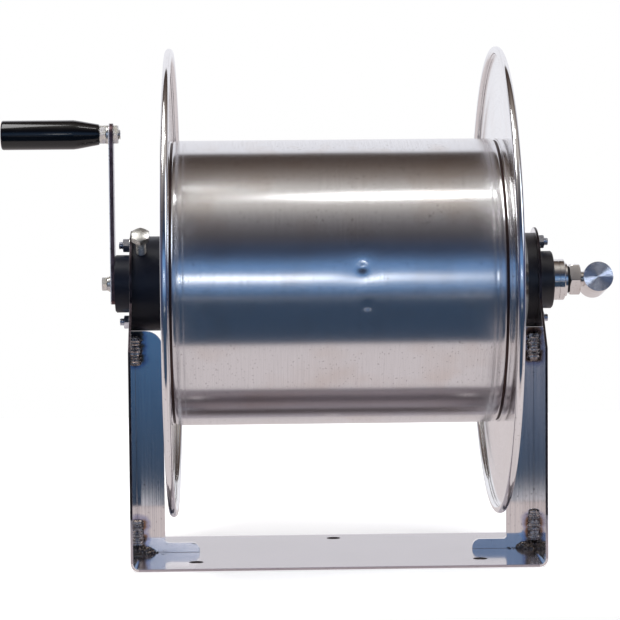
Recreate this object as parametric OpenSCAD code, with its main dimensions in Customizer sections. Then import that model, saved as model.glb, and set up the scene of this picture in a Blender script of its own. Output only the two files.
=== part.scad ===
// Hand-cranked fire hose reel: a polished drum between two discs, carried in a
// bent U-shaped frame by two round bearing housings. The hose water enters
// through a swivel elbow on the right and leaves through the drum.
// Origin: centre of the base underside. +X runs along the reel's axis towards
// the swivel, -Y is the front, +Z is up. All lengths are in millimetres.

/* [Frame] */
// Depth of the base and of the foot of each upright
frame_depth = 195; // [180:1:220]
// Thickness of the bent frame sheet
sheet_t = 2.5; // [2:0.5:4]
// Inside radius of the two bends
bend_r = 5.5; // [3:0.5:10]
// Clear height between the base and the discs
base_clearance = 38.5; // [25:0.5:90]
// Height below the axis at which each upright starts to narrow
shoulder_drop = 61; // [58:1:90]
// Radius of the rounded top of each upright, about the axis
upright_top_r = 53; // [52:1:60]
// Diameter of the fixing holes in the base
base_hole_d = 14; // [9:1:18]
// Distance between the two front fixing holes
front_hole_spacing = 282; // [200:1:296]
// Distance from the base centre forward to the front fixing holes
front_hole_y = 60; // [30:1:75]
// Distance from the base centre back to the rear fixing hole
rear_hole_y = 75; // [30:1:80]

/* [Gussets] */
// Thickness of each corner gusset
gusset_t = 5; // [4:0.5:8]
// Width of a gusset's upright leg
gusset_leg_w = 28; // [20:1:32]
// Gap between the top of a gusset and the bearing housing above it
gusset_top_gap = 2.5; // [1:0.5:60]
// Length of a gusset's foot along the base
gusset_foot_l = 63; // [40:1:80]
// Height of a gusset's foot
gusset_foot_h = 10; // [8:1:20]
// Radius of the gusset's top corner
gusset_top_r = 13; // [3:1:16]
// Radius of the end of the gusset's foot
gusset_corner_r = 8; // [3:1:8]
// Leg length of the weld fillets
weld_leg = 3.5; // [2:0.5:5]
// Length of each weld run
weld_l = 32; // [15:1:50]

/* [Discs] */
// Clear width for hose between the two discs
hose_width = 331; // [300:1:360]
// Outside diameter of each disc, over its rolled rim
disc_d = 470; // [400:1:480]
// Thickness of the disc sheet
disc_t = 1.5; // [1:0.1:2]
// Diameter of the rolled rim's bead
bead_d = 7.5; // [5:0.5:10]

/* [Drum] */
// Outside diameter of the drum shell
drum_d = 286; // [260:1:300]
// Thickness of the drum shell
shell_t = 2; // [1.5:0.1:3]
// Thickness of the head plate that closes each end of the drum
head_t = 3.5; // [3:0.1:5]
// Width of the groove between the shell and each head
groove_w = 2.2; // [1:0.1:4]
// Depth that each head's ring reaches into the shell
spigot_l = 12; // [8:1:12]
// Thickness of the head's ring
spigot_t = 3; // [2:0.5:5]
// Radial clearance between the shell and the head's ring
shell_gap = 0.2; // [0.1:0.05:0.3]

/* [Shafts] */
// Diameter of the crank axle
axle_d = 30; // [26:1:32]
// Outside diameter of the hollow shaft
shaft_d = 34; // [32:1:36]
// Bore of the hollow shaft
shaft_bore_d = 16; // [12:1:17]
// Diameter of the flange on each shaft
flange_d = 150; // [146:1:170]
// Thickness of the flange on each shaft
flange_t = 6; // [4:0.5:10]
// Diameter of the circle of disc screws
screw_circle_d = 124; // [100:1:126]
// Number of screws in each disc
screw_count = 6; // [3:1:8]
// Depth of the pipe sockets in the shaft and the elbow
socket_l = 14; // [10:1:18]
// Side of the square drive at the end of the crank axle
drive_side = 12; // [11:0.5:14]

/* [Bearings] */
// Diameter of the round bearing housings
housing_d = 95; // [93:1:100]
// Gap between the left disc and the left housing
disc_gap = 7; // [6:0.5:12]
// Thickness of the left housing, inside the upright
left_housing_t = 27.5; // [26:0.5:34]
// Thickness of the right housing, inside the upright
right_housing_t = 10; // [8:0.5:15]
// Diameter of each housing's nose, which passes through the upright
nose_d = 58; // [54:1:60]
// Length of each nose outside the upright
nose_l = 16; // [12:1:20]
// Wall thickness of the bearing bushes
bush_t = 3; // [2:0.5:4]
// Radial clearance between a shaft and its bush
running_gap = 0.05; // [0.02:0.01:0.1]
// Axial clearance between a shaft's parts and a housing
end_float = 0.3; // [0.2:0.1:0.5]
// Distance between the two bolts of a housing
housing_bolt_spacing = 77; // [75:0.5:78]

/* [Brake] */
// Distance from the left upright to the brake screw's line
brake_inset = 9; // [7:0.5:12]
// Diameter of the brake screw's thread
brake_screw_d = 10; // [8:0.5:10]
// Length of brake screw left standing out of the housing
brake_reach = 19; // [12:0.5:25]
// Length of the brake shoe
brake_shoe_l = 10; // [6:0.5:14]
// Gap between the brake shoe and the axle
brake_gap = 0.3; // [0.2:0.05:0.5]
// Width across the flats of the brake screw's head
brake_head_af = 17; // [15:0.5:19]
// Height of the brake screw's head
brake_head_h = 6.4; // [5:0.1:8]

/* [Crank] */
// Distance from the reel's axis to the grip's axis
crank_r = 150; // [120:1:180]
// Width of the crank arm
arm_w = 22; // [20:1:26]
// Thickness of the crank arm
arm_t = 4.5; // [4:0.5:6]
// Length of the crank arm below the reel's axis
arm_tail = 20.5; // [14:0.5:26]

/* [Grip] */
// Length of the grip
grip_l = 98; // [80:1:120]
// Diameter of the grip's body
grip_d = 29.5; // [26:0.5:34]
// Diameter of the grip's narrow end
grip_neck_d = 20.5; // [19:0.5:24]
// Length of the grip's taper
grip_taper_l = 26; // [15:1:40]
// Diameter of the spindle that the grip turns on
spindle_d = 10; // [8:0.5:10]
// Clearance between the grip and the spindle's collar
grip_end_gap = 0.3; // [0.2:0.1:1]

/* [Swivel] */
// Diameter of the shaft collar
collar_d = 41.5; // [40:0.5:46]
// Width of the shaft collar
collar_w = 12; // [8:0.5:14]
// Length of the hollow shaft past the collar
shaft_end_l = 2.5; // [1:0.5:4]
// Width across the flats of the swivel stem's hexagon
stem_af = 30; // [27:1:32]
// Thickness of the swivel stem's hexagon
stem_hex_t = 11; // [8:0.5:14]
// Diameter of the swivel stem's running part
journal_d = 16; // [15:0.5:17]
// Diameter of the swivel elbow's body
elbow_d = 30; // [28:0.5:34]
// Distance from the elbow's front face to the shaft's axis
elbow_front = 18; // [12:1:24]
// Distance from the elbow's rear face to the shaft's axis
elbow_rear = 28; // [26:1:40]
// Angle at which the elbow's rear end hangs below the horizontal
elbow_tilt = 12; // [0:1:30]
// Diameter of the water passage
passage_d = 10; // [8:0.5:11]

/* [Outlet] */
// Distance from the right disc to the hose outlet
outlet_inset = 37; // [37:1:80]
// Length of the outlet pipe outside the drum
outlet_reach = 26; // [20:1:40]
// Diameter of the outlet pipe's body, which the two nuts clamp to the drum
outlet_body_d = 24; // [23:0.5:26]
// Bore of the outlet pipe
outlet_bore_d = 13; // [10:0.5:15]
// Diameter of the inner elbow's body
inner_elbow_d = 28; // [26:1:32]
// Length of the inner elbow's branch
inner_elbow_l = 32; // [28:1:45]

/* [Fasteners] */
// Thread diameter of the housing bolts, disc screws and crank bolt
bolt_d = 8; // [8:0.5:8]
// Width across the flats of their hexagons
bolt_af = 13; // [13:0.5:13]
// Radial clearance of a bolt in its hole
bolt_gap = 0.2; // [0.1:0.05:0.3]

/* [Hidden] */
// Standard sizes of the fasteners and pipe threads
bolt_head_h = 5.3;
crank_bolt_l = 18;
nut_h = 6.5;
nut_end_l = 4;
nut_face_inset = 0.2;
nut_chamfer_angle = 30;
washer_d = 16;
washer_t = 1.6;
lock_washer_d = 14.4;
lock_washer_t = 2;
button_d = 14;
button_h = 4.4;
pipe_thread_d = 20.96;
pipe_thread_gap = 0.08;
outlet_nut_af = 36;
outlet_nut_h = 9;
seal_washer_d = 27;
seal_washer_t = 2.5;
grub_d = 6;
spindle_collar_af = 18;
spindle_collar_t = 6.5;
spindle_nut_af = 18;
spindle_nut_t = 5;
spindle_lock_washer_d = 19;
spindle_lock_washer_t = 2.5;
spindle_head_d = 16;
spindle_head_t = 4;
grip_cap_t = 3;
grip_cap_lip = 2;
grip_edge_r = 2;
seal_section = 2;
seal_squeeze = 0.05;
lock_ring_t = 1.2;
lock_ring_depth = 1;
lock_ring_inset = 3;
elbow_end_wall = 6;
edge = 1;
skin = 0.1;
hex_sides = 6;
$fn = 96;

// Places along the axis, measured from the frame's centre
disc_in = hose_width / 2;
disc_out = disc_in + disc_t;
web_in = disc_out + disc_gap + left_housing_t;
web_out = web_in + sheet_t;
nose_end = web_out + nose_l;
head_in = disc_in - head_t;
flange_in = head_in - flange_t;
shell_end = head_in - groove_w;
spigot_end = head_in - spigot_l;
left_housing_in = web_in - left_housing_t;
right_housing_in = web_in - right_housing_t;
left_head_seat = left_housing_in + bolt_head_h + 2 * end_float;
arm_in = nose_end + end_float;
arm_out = arm_in + arm_t;
collar_in = nose_end + end_float;
collar_out = collar_in + collar_w;
shaft_end = collar_out + shaft_end_l;
stem_hex_in = shaft_end + seal_washer_t;
stem_hex_out = stem_hex_in + stem_hex_t;
elbow_x = stem_hex_out + 2 * edge + elbow_d / 2;
journal_end = elbow_x + elbow_d / 2 - elbow_end_wall;
disc_r = disc_d / 2;
axis_height = sheet_t + base_clearance + disc_r;
gusset_h = axis_height - housing_d / 2 - gusset_top_gap - sheet_t;
drum_r = drum_d / 2;
shell_in_r = drum_r - shell_t;
spigot_r = shell_in_r - shell_gap;
housing_bolt_z = housing_bolt_spacing / 2;
bush_out_left = axle_d / 2 + running_gap + bush_t;
bush_out_right = shaft_d / 2 + running_gap + bush_t;
brake_angle = 45;
brake_x = web_in - brake_inset;
brake_tip = axle_d / 2 + brake_gap;
brake_screw_tip = brake_tip + brake_shoe_l;
brake_head_at = housing_d / 2 + brake_reach;
spindle_collar_in = arm_out + spindle_lock_washer_t;
grip_in = spindle_collar_in + spindle_collar_t + grip_end_gap;
grip_out = grip_in + grip_l;
spindle_head_in = grip_out - grip_cap_t - spindle_head_t - edge;
grip_bore_r = spindle_d / 2 + running_gap;
outlet_x = disc_in - outlet_inset;
outlet_end = drum_r + outlet_reach;

// --- Helpers ---------------------------------------------------------------

// A cylinder along X from x0 to x1
module rod_x(x0, x1, r) {
  translate([x0, 0, 0])
    rotate([0, 90, 0])
      cylinder(h = x1 - x0, r = r);
}

// A hexagonal prism along X, with two flats level
module hex_x(x0, x1, af) {
  translate([x0, 0, 0])
    rotate([0, 90, 0])
      rotate([0, 0, 180 / hex_sides])
        cylinder(h = x1 - x0, r = af / 2 / cos(180 / hex_sides), $fn = hex_sides);
}

// A flat ring along X
module ring_x(x0, x1, outer_r, inner_r) {
  difference() {
    rod_x(x0, x1, outer_r);
    rod_x(x0 - edge, x1 + edge, inner_r);
  }
}

// A chamfered hexagonal prism along X, its corners turned off at both ends
module nut_x(x0, x1, af) {
  face_r = af / 2 - nut_face_inset;
  wide_r = af / 2 / cos(180 / hex_sides) + edge;
  slope_h = (wide_r - face_r) * tan(nut_chamfer_angle);
  h = x1 - x0;
  intersection() {
    hex_x(x0, x1, af);
    translate([x0, 0, 0])
      rotate([90, 0, 90])
        rotate([0, 0, 90 / hex_sides])
          rotate_extrude()
            polygon([[0, 0], [face_r, 0], [wide_r, slope_h], [wide_r, h - slope_h], [face_r, h],
              [0, h]]);
  }
}

// Lifts children from the reel's axis to its height above the base
module on_axis() {
  translate([0, 0, axis_height])
    children();
}

// Mirrors children to the left when side is -1
module to_side(side) {
  scale_x = side < 0 ? 1 : 0;
  mirror([scale_x, 0, 0])
    children();
}

// Repeats children round the circle of disc screws
module on_screw_circle() {
  for (i = [0 : screw_count - 1])
    rotate([i * 360 / screw_count, 0, 0])
      translate([0, 0, screw_circle_d / 2])
        children();
}

// Repeats children at the two bolts of a housing
module on_housing_bolts() {
  for (z = [-housing_bolt_z, housing_bolt_z])
    translate([0, 0, z])
      children();
}

// --- Frame -----------------------------------------------------------------

// Outline of an upright in the YZ plane, seen along X
module upright_outline() {
  shoulder_z = axis_height - shoulder_drop;
  step = frame_depth / 2 - upright_top_r;
  polygon([[-frame_depth / 2, sheet_t + bend_r], [frame_depth / 2, sheet_t + bend_r],
    [frame_depth / 2, shoulder_z], [upright_top_r, shoulder_z + step], [upright_top_r, axis_height],
    [-upright_top_r, axis_height], [-upright_top_r, shoulder_z + step], [-frame_depth / 2, shoulder_z]]);
  translate([0, axis_height])
    circle(r = upright_top_r);
}

// One upright with its hole for the housing's nose and its two bolt holes
module upright() {
  difference() {
    translate([web_in, 0, 0])
      rotate([90, 0, 90])
        linear_extrude(sheet_t)
          upright_outline();
    on_axis() {
      rod_x(web_in - edge, web_out + edge, nose_d / 2 + bolt_gap);
      on_housing_bolts()
        rod_x(web_in - edge, web_out + edge, bolt_d / 2 + bolt_gap);
    }
  }
}

// A quarter bend between the base and an upright
module frame_bend() {
  translate([web_in - bend_r, frame_depth / 2, sheet_t + bend_r])
    rotate([90, 0, 0])
      rotate([0, 0, 270])
        quarter_ring();
}

// The quarter ring that a bend is made of, along its own axis
module quarter_ring() {
  intersection() {
    difference() {
      cylinder(h = frame_depth, r = bend_r + sheet_t);
      translate([0, 0, -edge])
        cylinder(h = frame_depth + 2 * edge, r = bend_r);
    }
    cube([bend_r + sheet_t, bend_r + sheet_t, frame_depth]);
  }
}

module u_frame() {
  flat_half = web_in - bend_r;
  color("lightsteelblue")
    union() {
      difference() {
        translate([-flat_half, -frame_depth / 2, 0])
          cube([2 * flat_half, frame_depth, sheet_t]);
        for (x = [-front_hole_spacing / 2, front_hole_spacing / 2])
          translate([x, -front_hole_y, -edge])
            cylinder(h = sheet_t + 2 * edge, d = base_hole_d);
        translate([0, rear_hole_y, -edge])
          cylinder(h = sheet_t + 2 * edge, d = base_hole_d);
      }
      for (side = [-1, 1])
        to_side(side) {
          upright();
          frame_bend();
        }
    }
}

// L-shaped outline of a gusset in the corner at the origin, leg along +Y
module gusset_outline() {
  difference() {
    union() {
      square([gusset_leg_w, gusset_h - gusset_top_r]);
      square([gusset_leg_w - gusset_top_r, gusset_h]);
      translate([gusset_leg_w - gusset_top_r, gusset_h - gusset_top_r])
        circle(r = gusset_top_r);
      square([gusset_foot_l - gusset_corner_r, gusset_foot_h]);
      square([gusset_foot_l, gusset_foot_h - gusset_corner_r]);
      translate([gusset_foot_l - gusset_corner_r, gusset_foot_h - gusset_corner_r])
        circle(r = gusset_corner_r);
      translate([gusset_leg_w, gusset_foot_h])
        polygon([[0, 0], [weld_leg, 0], [0, weld_leg]]);
    }
    translate([-bend_r, -bend_r])
      square([2 * bend_r, 2 * bend_r]);
    translate([-gusset_leg_w, -2 * gusset_foot_h])
      square([2 * gusset_foot_l, 2 * gusset_foot_h]);
  }
}

// Gusset of one side, its outer corner cropped to clear the frame's bend
module gusset(side) {
  color("lightsteelblue")
    to_side(side)
      translate([web_in, gusset_t / 2, sheet_t])
        mirror([1, 0, 0])
          rotate([90, 0, 0])
            linear_extrude(gusset_t)
              gusset_outline();
}

module left_gusset() {
  gusset(-1);
}

module right_gusset() {
  gusset(1);
}

// A fillet of weld metal along Z, in the corner between gusset and upright
module weld_run(z0) {
  for (front = [-1, 1])
    translate([web_in, front * gusset_t / 2, z0])
      mirror([1, 0, 0])
        mirror([0, front < 0 ? 1 : 0, 0])
          linear_extrude(weld_l)
            polygon([[0, 0], [weld_leg, 0], [weld_leg / 2, weld_leg / 2], [0, weld_leg]]);
}

// A fillet of weld metal along X, between the gusset's foot and the base
module foot_weld() {
  for (front = [-1, 1])
    translate([web_in - bend_r - weld_l / 2, front * gusset_t / 2, sheet_t])
      mirror([0, front < 0 ? 1 : 0, 0])
        rotate([90, 0, 90])
          linear_extrude(weld_l / 2)
            polygon([[0, 0], [weld_leg, 0], [weld_leg / 2, weld_leg / 2], [0, weld_leg]]);
}

// All weld metal of one side
module gusset_welds(side) {
  color("saddlebrown")
    to_side(side) {
      weld_run(sheet_t + bend_r);
      weld_run(sheet_t + gusset_h - weld_l);
      foot_weld();
    }
}

module left_gusset_welds() {
  gusset_welds(-1);
}

module right_gusset_welds() {
  gusset_welds(1);
}

// --- Bearing housings ------------------------------------------------------

// A round housing with its nose through the upright, bored for its bushes
module housing(body_t, bore_r) {
  difference() {
    union() {
      rod_x(web_in - body_t, web_in, housing_d / 2);
      rod_x(web_in - edge, nose_end - edge, nose_d / 2);
      rod_x(nose_end - 2 * edge, nose_end, nose_d / 2 - edge);
    }
    rod_x(web_in - body_t - edge, nose_end + edge, bore_r);
    on_housing_bolts()
      rod_x(web_in - body_t - edge, web_in + edge, bolt_d / 2 + bolt_gap);
  }
}

module left_housing() {
  color("dimgray")
    on_axis()
      to_side(-1)
        difference() {
          housing(left_housing_t, bush_out_left);
          on_housing_bolts()
            rod_x(left_housing_in - edge, left_head_seat, washer_d / 2);
          brake_line(0, housing_d, brake_screw_d / 2 + running_gap);
        }
}

module right_housing() {
  color("dimgray")
    on_axis()
      housing(right_housing_t, bush_out_right);
}

// A plain bearing bush along X
module bush(x0, x1, shaft_r) {
  color("burlywood")
    on_axis()
      ring_x(x0, x1, shaft_r + running_gap + bush_t, shaft_r + running_gap);
}

module left_outer_bush() {
  to_side(-1)
    bush(brake_x + brake_screw_d / 2 + edge, nose_end - edge, axle_d / 2);
}

module left_inner_bush() {
  to_side(-1)
    bush(left_housing_in + edge, brake_x - brake_screw_d / 2 - edge, axle_d / 2);
}

module right_bush() {
  bush(right_housing_in + edge, nose_end - edge, shaft_d / 2);
}

// Bolts of one housing, heads on the inside
module housing_bolts(side, head_at) {
  color("silver")
    on_axis()
      to_side(side)
        on_housing_bolts() {
          nut_x(head_at - bolt_head_h, head_at, bolt_af);
          rod_x(head_at - skin, web_out + washer_t + nut_h + nut_end_l, bolt_d / 2);
        }
}

module left_housing_bolts() {
  housing_bolts(-1, left_head_seat);
}

module right_housing_bolts() {
  housing_bolts(1, right_housing_in);
}

// Nuts of one housing, outside the upright's washers
module housing_nuts(side) {
  color("silver")
    on_axis()
      to_side(side)
        on_housing_bolts()
          difference() {
            nut_x(web_out + washer_t, web_out + washer_t + nut_h, bolt_af);
            rod_x(web_out, web_out + washer_t + nut_h + edge, bolt_d / 2 + running_gap);
          }
}

module left_housing_nuts() {
  housing_nuts(-1);
}

module right_housing_nuts() {
  housing_nuts(1);
}

// Washers between the four nuts and the uprights
module housing_washers() {
  color("silver")
    on_axis()
      for (side = [-1, 1])
        to_side(side)
          on_housing_bolts()
            ring_x(web_out, web_out + washer_t, washer_d / 2, bolt_d / 2 + bolt_gap);
}

// --- Brake -----------------------------------------------------------------

// A cylinder on the brake screw's line, from r0 to r1 away from the axis
module brake_line(r0, r1, r) {
  translate([brake_x, 0, 0])
    rotate([brake_angle, 0, 0])
      translate([0, 0, r0])
        cylinder(h = r1 - r0, r = r);
}

module brake_screw() {
  color("gainsboro")
    on_axis()
      to_side(-1) {
        brake_line(brake_screw_tip + running_gap, brake_head_at + skin, brake_screw_d / 2);
        translate([brake_x, 0, 0])
          rotate([brake_angle, 0, 0])
            translate([0, 0, brake_head_at])
              rotate([0, -90, 0])
                nut_x(0, brake_head_h, brake_head_af);
      }
}

module brake_shoe() {
  color("tan")
    on_axis()
      to_side(-1)
        brake_line(brake_tip, brake_screw_tip, brake_screw_d / 2);
}

// --- Drum ------------------------------------------------------------------

module drum_shell() {
  color("gainsboro")
    on_axis()
      difference() {
        rod_x(-shell_end, shell_end, drum_r, $fn = 192);
        rod_x(-shell_end - edge, shell_end + edge, shell_in_r, $fn = 192);
        translate([outlet_x, 0, 0])
          rotate([-90, 0, 0])
            cylinder(h = drum_r + edge, r = outlet_body_d / 2 + bolt_gap);
      }
}

// Head plate of one side, with its ring inside the shell
module drum_head(shaft_r) {
  color("gainsboro")
    on_axis()
      difference() {
        union() {
          rod_x(head_in, disc_in, drum_r, $fn = 192);
          rod_x(spigot_end, head_in + skin, spigot_r, $fn = 192);
        }
        rod_x(spigot_end - edge, head_in, spigot_r - spigot_t, $fn = 192);
        rod_x(head_in - edge, disc_in + edge, shaft_r + bolt_gap);
        on_screw_circle()
          rod_x(head_in - edge, disc_in + edge, bolt_d / 2 + bolt_gap);
      }
}

module left_drum_head() {
  to_side(-1)
    drum_head(axle_d / 2);
}

module right_drum_head() {
  drum_head(shaft_d / 2);
}

// Disc of one side, its rim rolled into a bead that faces the hose
module disc(shaft_r) {
  color("gainsboro")
    on_axis()
      difference() {
        union() {
          rod_x(disc_in, disc_out, disc_r - bead_d / 2, $fn = 192);
          translate([disc_out - bead_d / 2, 0, 0])
            rotate([0, 90, 0])
              rotate_extrude($fn = 192)
                translate([disc_r - bead_d / 2, 0])
                  circle(d = bead_d);
        }
        rod_x(disc_in - edge, disc_out + edge, shaft_r + bolt_gap);
        on_screw_circle()
          rod_x(disc_in - edge, disc_out + edge, bolt_d / 2 + bolt_gap);
      }
}

module left_disc() {
  to_side(-1)
    disc(axle_d / 2);
}

module right_disc() {
  disc(shaft_d / 2);
}

// A shaft's flange with its screw holes
module shaft_flange() {
  difference() {
    rod_x(flange_in, head_in, flange_d / 2);
    on_screw_circle()
      rod_x(flange_in - edge, head_in + edge, bolt_d / 2 + bolt_gap);
  }
}

module crank_axle() {
  color("silver")
    on_axis()
      to_side(-1)
        difference() {
          union() {
            shaft_flange();
            rod_x(flange_in, arm_in, axle_d / 2);
            translate([arm_in - skin, -drive_side / 2, -drive_side / 2])
              cube([arm_t - edge / 2 + skin, drive_side, drive_side]);
          }
          rod_x(arm_in - crank_bolt_l - 2 * edge, arm_out + edge, bolt_d / 2 + running_gap);
        }
}

module hollow_shaft() {
  color("silver")
    on_axis()
      difference() {
        union() {
          shaft_flange();
          rod_x(flange_in, shaft_end, shaft_d / 2);
        }
        rod_x(flange_in - edge, shaft_end + edge, shaft_bore_d / 2);
        rod_x(flange_in - edge, flange_in + socket_l, pipe_thread_d / 2);
        rod_x(shaft_end - socket_l, shaft_end + edge, pipe_thread_d / 2);
        translate([collar_in + collar_w / 2, 0, 0])
          rotate([-90, 0, 0])
            translate([0, 0, shaft_d / 2 - edge])
              cylinder(h = 2 * edge, d = grub_d);
      }
}

// Button-head screws through disc, head and flange
module disc_screws(side) {
  color("silver")
    on_axis()
      to_side(side)
        on_screw_circle() {
          rod_x(flange_in - nut_h - edge, disc_out + skin, bolt_d / 2);
          translate([disc_out, 0, 0])
            rotate([0, 90, 0])
              rotate_extrude()
                polygon([[0, 0], [button_d / 2, 0], [button_d / 2, edge],
                  [button_d / 3, button_h], [0, button_h]]);
        }
}

module left_disc_screws() {
  disc_screws(-1);
}

module right_disc_screws() {
  disc_screws(1);
}

// Nuts on the disc screws, inside the drum
module disc_nuts(side) {
  color("silver")
    on_axis()
      to_side(side)
        on_screw_circle()
          difference() {
            nut_x(flange_in - nut_h, flange_in, bolt_af);
            rod_x(flange_in - nut_h - edge, flange_in + edge, bolt_d / 2 + running_gap);
          }
}

module left_disc_nuts() {
  disc_nuts(-1);
}

module right_disc_nuts() {
  disc_nuts(1);
}

// --- Water passage inside the drum -----------------------------------------

// A cylinder along +Y at the outlet's place, from y0 to y1
module outlet_line(y0, y1, r) {
  translate([outlet_x, y0, 0])
    rotate([-90, 0, 0])
      cylinder(h = y1 - y0, r = r);
}

module inner_elbow() {
  body_r = inner_elbow_d / 2;
  color("silver")
    on_axis()
      difference() {
        union() {
          rod_x(outlet_x, flange_in, body_r);
          rod_x(flange_in - skin, flange_in + socket_l - edge,
            pipe_thread_d / 2 - pipe_thread_gap);
          translate([outlet_x, 0, 0])
            sphere(r = body_r);
          outlet_line(0, inner_elbow_l, body_r);
        }
        rod_x(outlet_x, flange_in + socket_l, passage_d / 2);
        translate([outlet_x, 0, 0])
          sphere(d = passage_d);
        outlet_line(0, inner_elbow_l, passage_d / 2);
        outlet_line(inner_elbow_l - socket_l, inner_elbow_l + edge, pipe_thread_d / 2);
      }
}

// Threaded at both ends, with a wider body through the drum shell
module outlet_pipe() {
  thread_r = pipe_thread_d / 2 - pipe_thread_gap;
  color("silver")
    on_axis()
      difference() {
        union() {
          outlet_line(inner_elbow_l - socket_l + edge / 4, inner_elbow_l + edge, thread_r);
          outlet_line(inner_elbow_l, drum_r + outlet_nut_h, outlet_body_d / 2);
          outlet_line(drum_r, outlet_end, thread_r);
        }
        outlet_line(0, outlet_end + edge, outlet_bore_d / 2);
      }
}

// A hexagonal nut along the outlet pipe
module outlet_hex(y0, y1) {
  translate([outlet_x, y0, 0])
    rotate([-90, 0, 0])
      cylinder(h = y1 - y0, r = outlet_nut_af / 2 / cos(180 / hex_sides), $fn = hex_sides);
}

// The two nuts that clamp the outlet pipe to the shell, shaped to its curve
module outlet_nuts() {
  color("silver")
    on_axis()
      difference() {
        union() {
          difference() {
            outlet_hex(shell_in_r, drum_r + outlet_nut_h);
            rod_x(0, disc_in, drum_r, $fn = 192);
          }
          intersection() {
            outlet_hex(shell_in_r - outlet_nut_h, drum_r);
            rod_x(0, disc_in, shell_in_r, $fn = 192);
          }
        }
        outlet_line(0, outlet_end, outlet_body_d / 2 + running_gap);
      }
}

module shaft_collar() {
  color("gainsboro")
    on_axis()
      difference() {
        rod_x(collar_in, collar_out, collar_d / 2);
        rod_x(collar_in - edge, collar_out + edge, shaft_d / 2 + running_gap);
        translate([collar_in + collar_w / 2, 0, 0])
          rotate([-90, 0, 0])
            cylinder(h = collar_d, d = grub_d + 2 * running_gap);
      }
}

module collar_set_screw() {
  color("dimgray")
    on_axis()
      translate([collar_in + collar_w / 2, shaft_d / 2 - edge, 0])
        rotate([-90, 0, 0])
          difference() {
            cylinder(h = (collar_d - shaft_d) / 2 + edge / 2, d = grub_d);
            translate([0, 0, edge])
              cylinder(h = collar_d, d = grub_d / 2, $fn = hex_sides);
          }
}

// --- Crank -----------------------------------------------------------------

module crank_arm() {
  r = arm_w / 2;
  color("lightslategray")
    on_axis()
      to_side(-1)
        translate([arm_in, 0, 0])
          rotate([90, 0, 90])
            difference() {
              linear_extrude(arm_t)
                union() {
                  translate([-r, -arm_tail + r / 2])
                    square([arm_w, crank_r + arm_tail - r / 2]);
                  translate([-r / 2, -arm_tail])
                    square([r, r]);
                  for (y = [-r / 2, r / 2])
                    translate([y, -arm_tail + r / 2])
                      circle(r = r / 2);
                  translate([0, crank_r])
                    circle(r = r);
                }
              square_hole(drive_side + 2 * running_gap);
              translate([0, crank_r, -edge])
                cylinder(h = arm_t + 2 * edge, r = spindle_d / 2 + running_gap);
            }
}

// A square hole through the arm, centred on the axis
module square_hole(side) {
  translate([-side / 2, -side / 2, -edge])
    cube([side, side, arm_t + 2 * edge]);
}

module crank_washer() {
  color("silver")
    on_axis()
      to_side(-1)
        ring_x(arm_out, arm_out + washer_t, washer_d / 2, bolt_d / 2 + running_gap);
}

module crank_lock_washer() {
  washer_out = arm_out + washer_t;
  color("silver")
    on_axis()
      to_side(-1)
        ring_x(washer_out, washer_out + lock_washer_t, lock_washer_d / 2,
          bolt_d / 2 + running_gap);
}

module crank_bolt() {
  head_at = arm_out + washer_t + lock_washer_t;
  color("silver")
    on_axis()
      to_side(-1) {
        nut_x(head_at, head_at + bolt_head_h, bolt_af);
        rod_x(arm_in - crank_bolt_l, head_at + skin, bolt_d / 2);
      }
}

// --- Grip ------------------------------------------------------------------

// Lifts children from the reel's axis to the grip's axis, on the left
module on_grip_axis() {
  translate([0, 0, axis_height + crank_r])
    to_side(-1)
      children();
}

module grip_spindle() {
  color("silver")
    on_grip_axis() {
      rod_x(arm_in - spindle_nut_t - edge, spindle_head_in + skin, spindle_d / 2);
      nut_x(spindle_collar_in, spindle_collar_in + spindle_collar_t, spindle_collar_af);
      rod_x(spindle_head_in, spindle_head_in + spindle_head_t, spindle_head_d / 2);
    }
}

module spindle_lock_washer() {
  color("silver")
    on_grip_axis()
      ring_x(arm_out, spindle_collar_in, spindle_lock_washer_d / 2, spindle_d / 2 + running_gap);
}

module spindle_nut() {
  color("silver")
    on_grip_axis()
      difference() {
        nut_x(arm_in - spindle_nut_t, arm_in, spindle_nut_af);
        rod_x(arm_in - spindle_nut_t - edge, arm_in + edge, spindle_d / 2 + running_gap);
      }
}

module grip() {
  r = grip_d / 2;
  socket_at = spindle_head_in - grip_end_gap;
  color("black")
    on_grip_axis()
      difference() {
        translate([grip_in, 0, 0])
          rotate([90, 0, 90])
            rotate_extrude()
              union() {
                polygon([[0, 0], [grip_neck_d / 2, 0], [r, grip_taper_l],
                  [r, grip_l - grip_edge_r], [r - grip_edge_r, grip_l], [0, grip_l]]);
                intersection() {
                  translate([r - grip_edge_r, grip_l - grip_edge_r])
                    circle(r = grip_edge_r);
                  square([r, grip_l]);
                }
              }
        rod_x(grip_in - edge, grip_out, grip_bore_r);
        rod_x(socket_at, grip_out + edge, spindle_head_d / 2 + grip_end_gap);
        rod_x(grip_out - grip_cap_t, grip_out + edge, spindle_head_d / 2 + grip_cap_lip);
      }
}

module grip_cap() {
  color("black")
    on_grip_axis()
      rod_x(grip_out - grip_cap_t, grip_out, spindle_head_d / 2 + grip_cap_lip);
}

// --- Swivel ----------------------------------------------------------------

// Groove positions of the two seal rings, either side of the passage
function seal_x(i) = elbow_x + (i == 0 ? -1 : 1) * (passage_d / 2 + seal_section);

// Groove position of the lock ring, near the stem's hexagon
lock_ring_x = elbow_x - elbow_d / 2 + lock_ring_inset;

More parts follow.
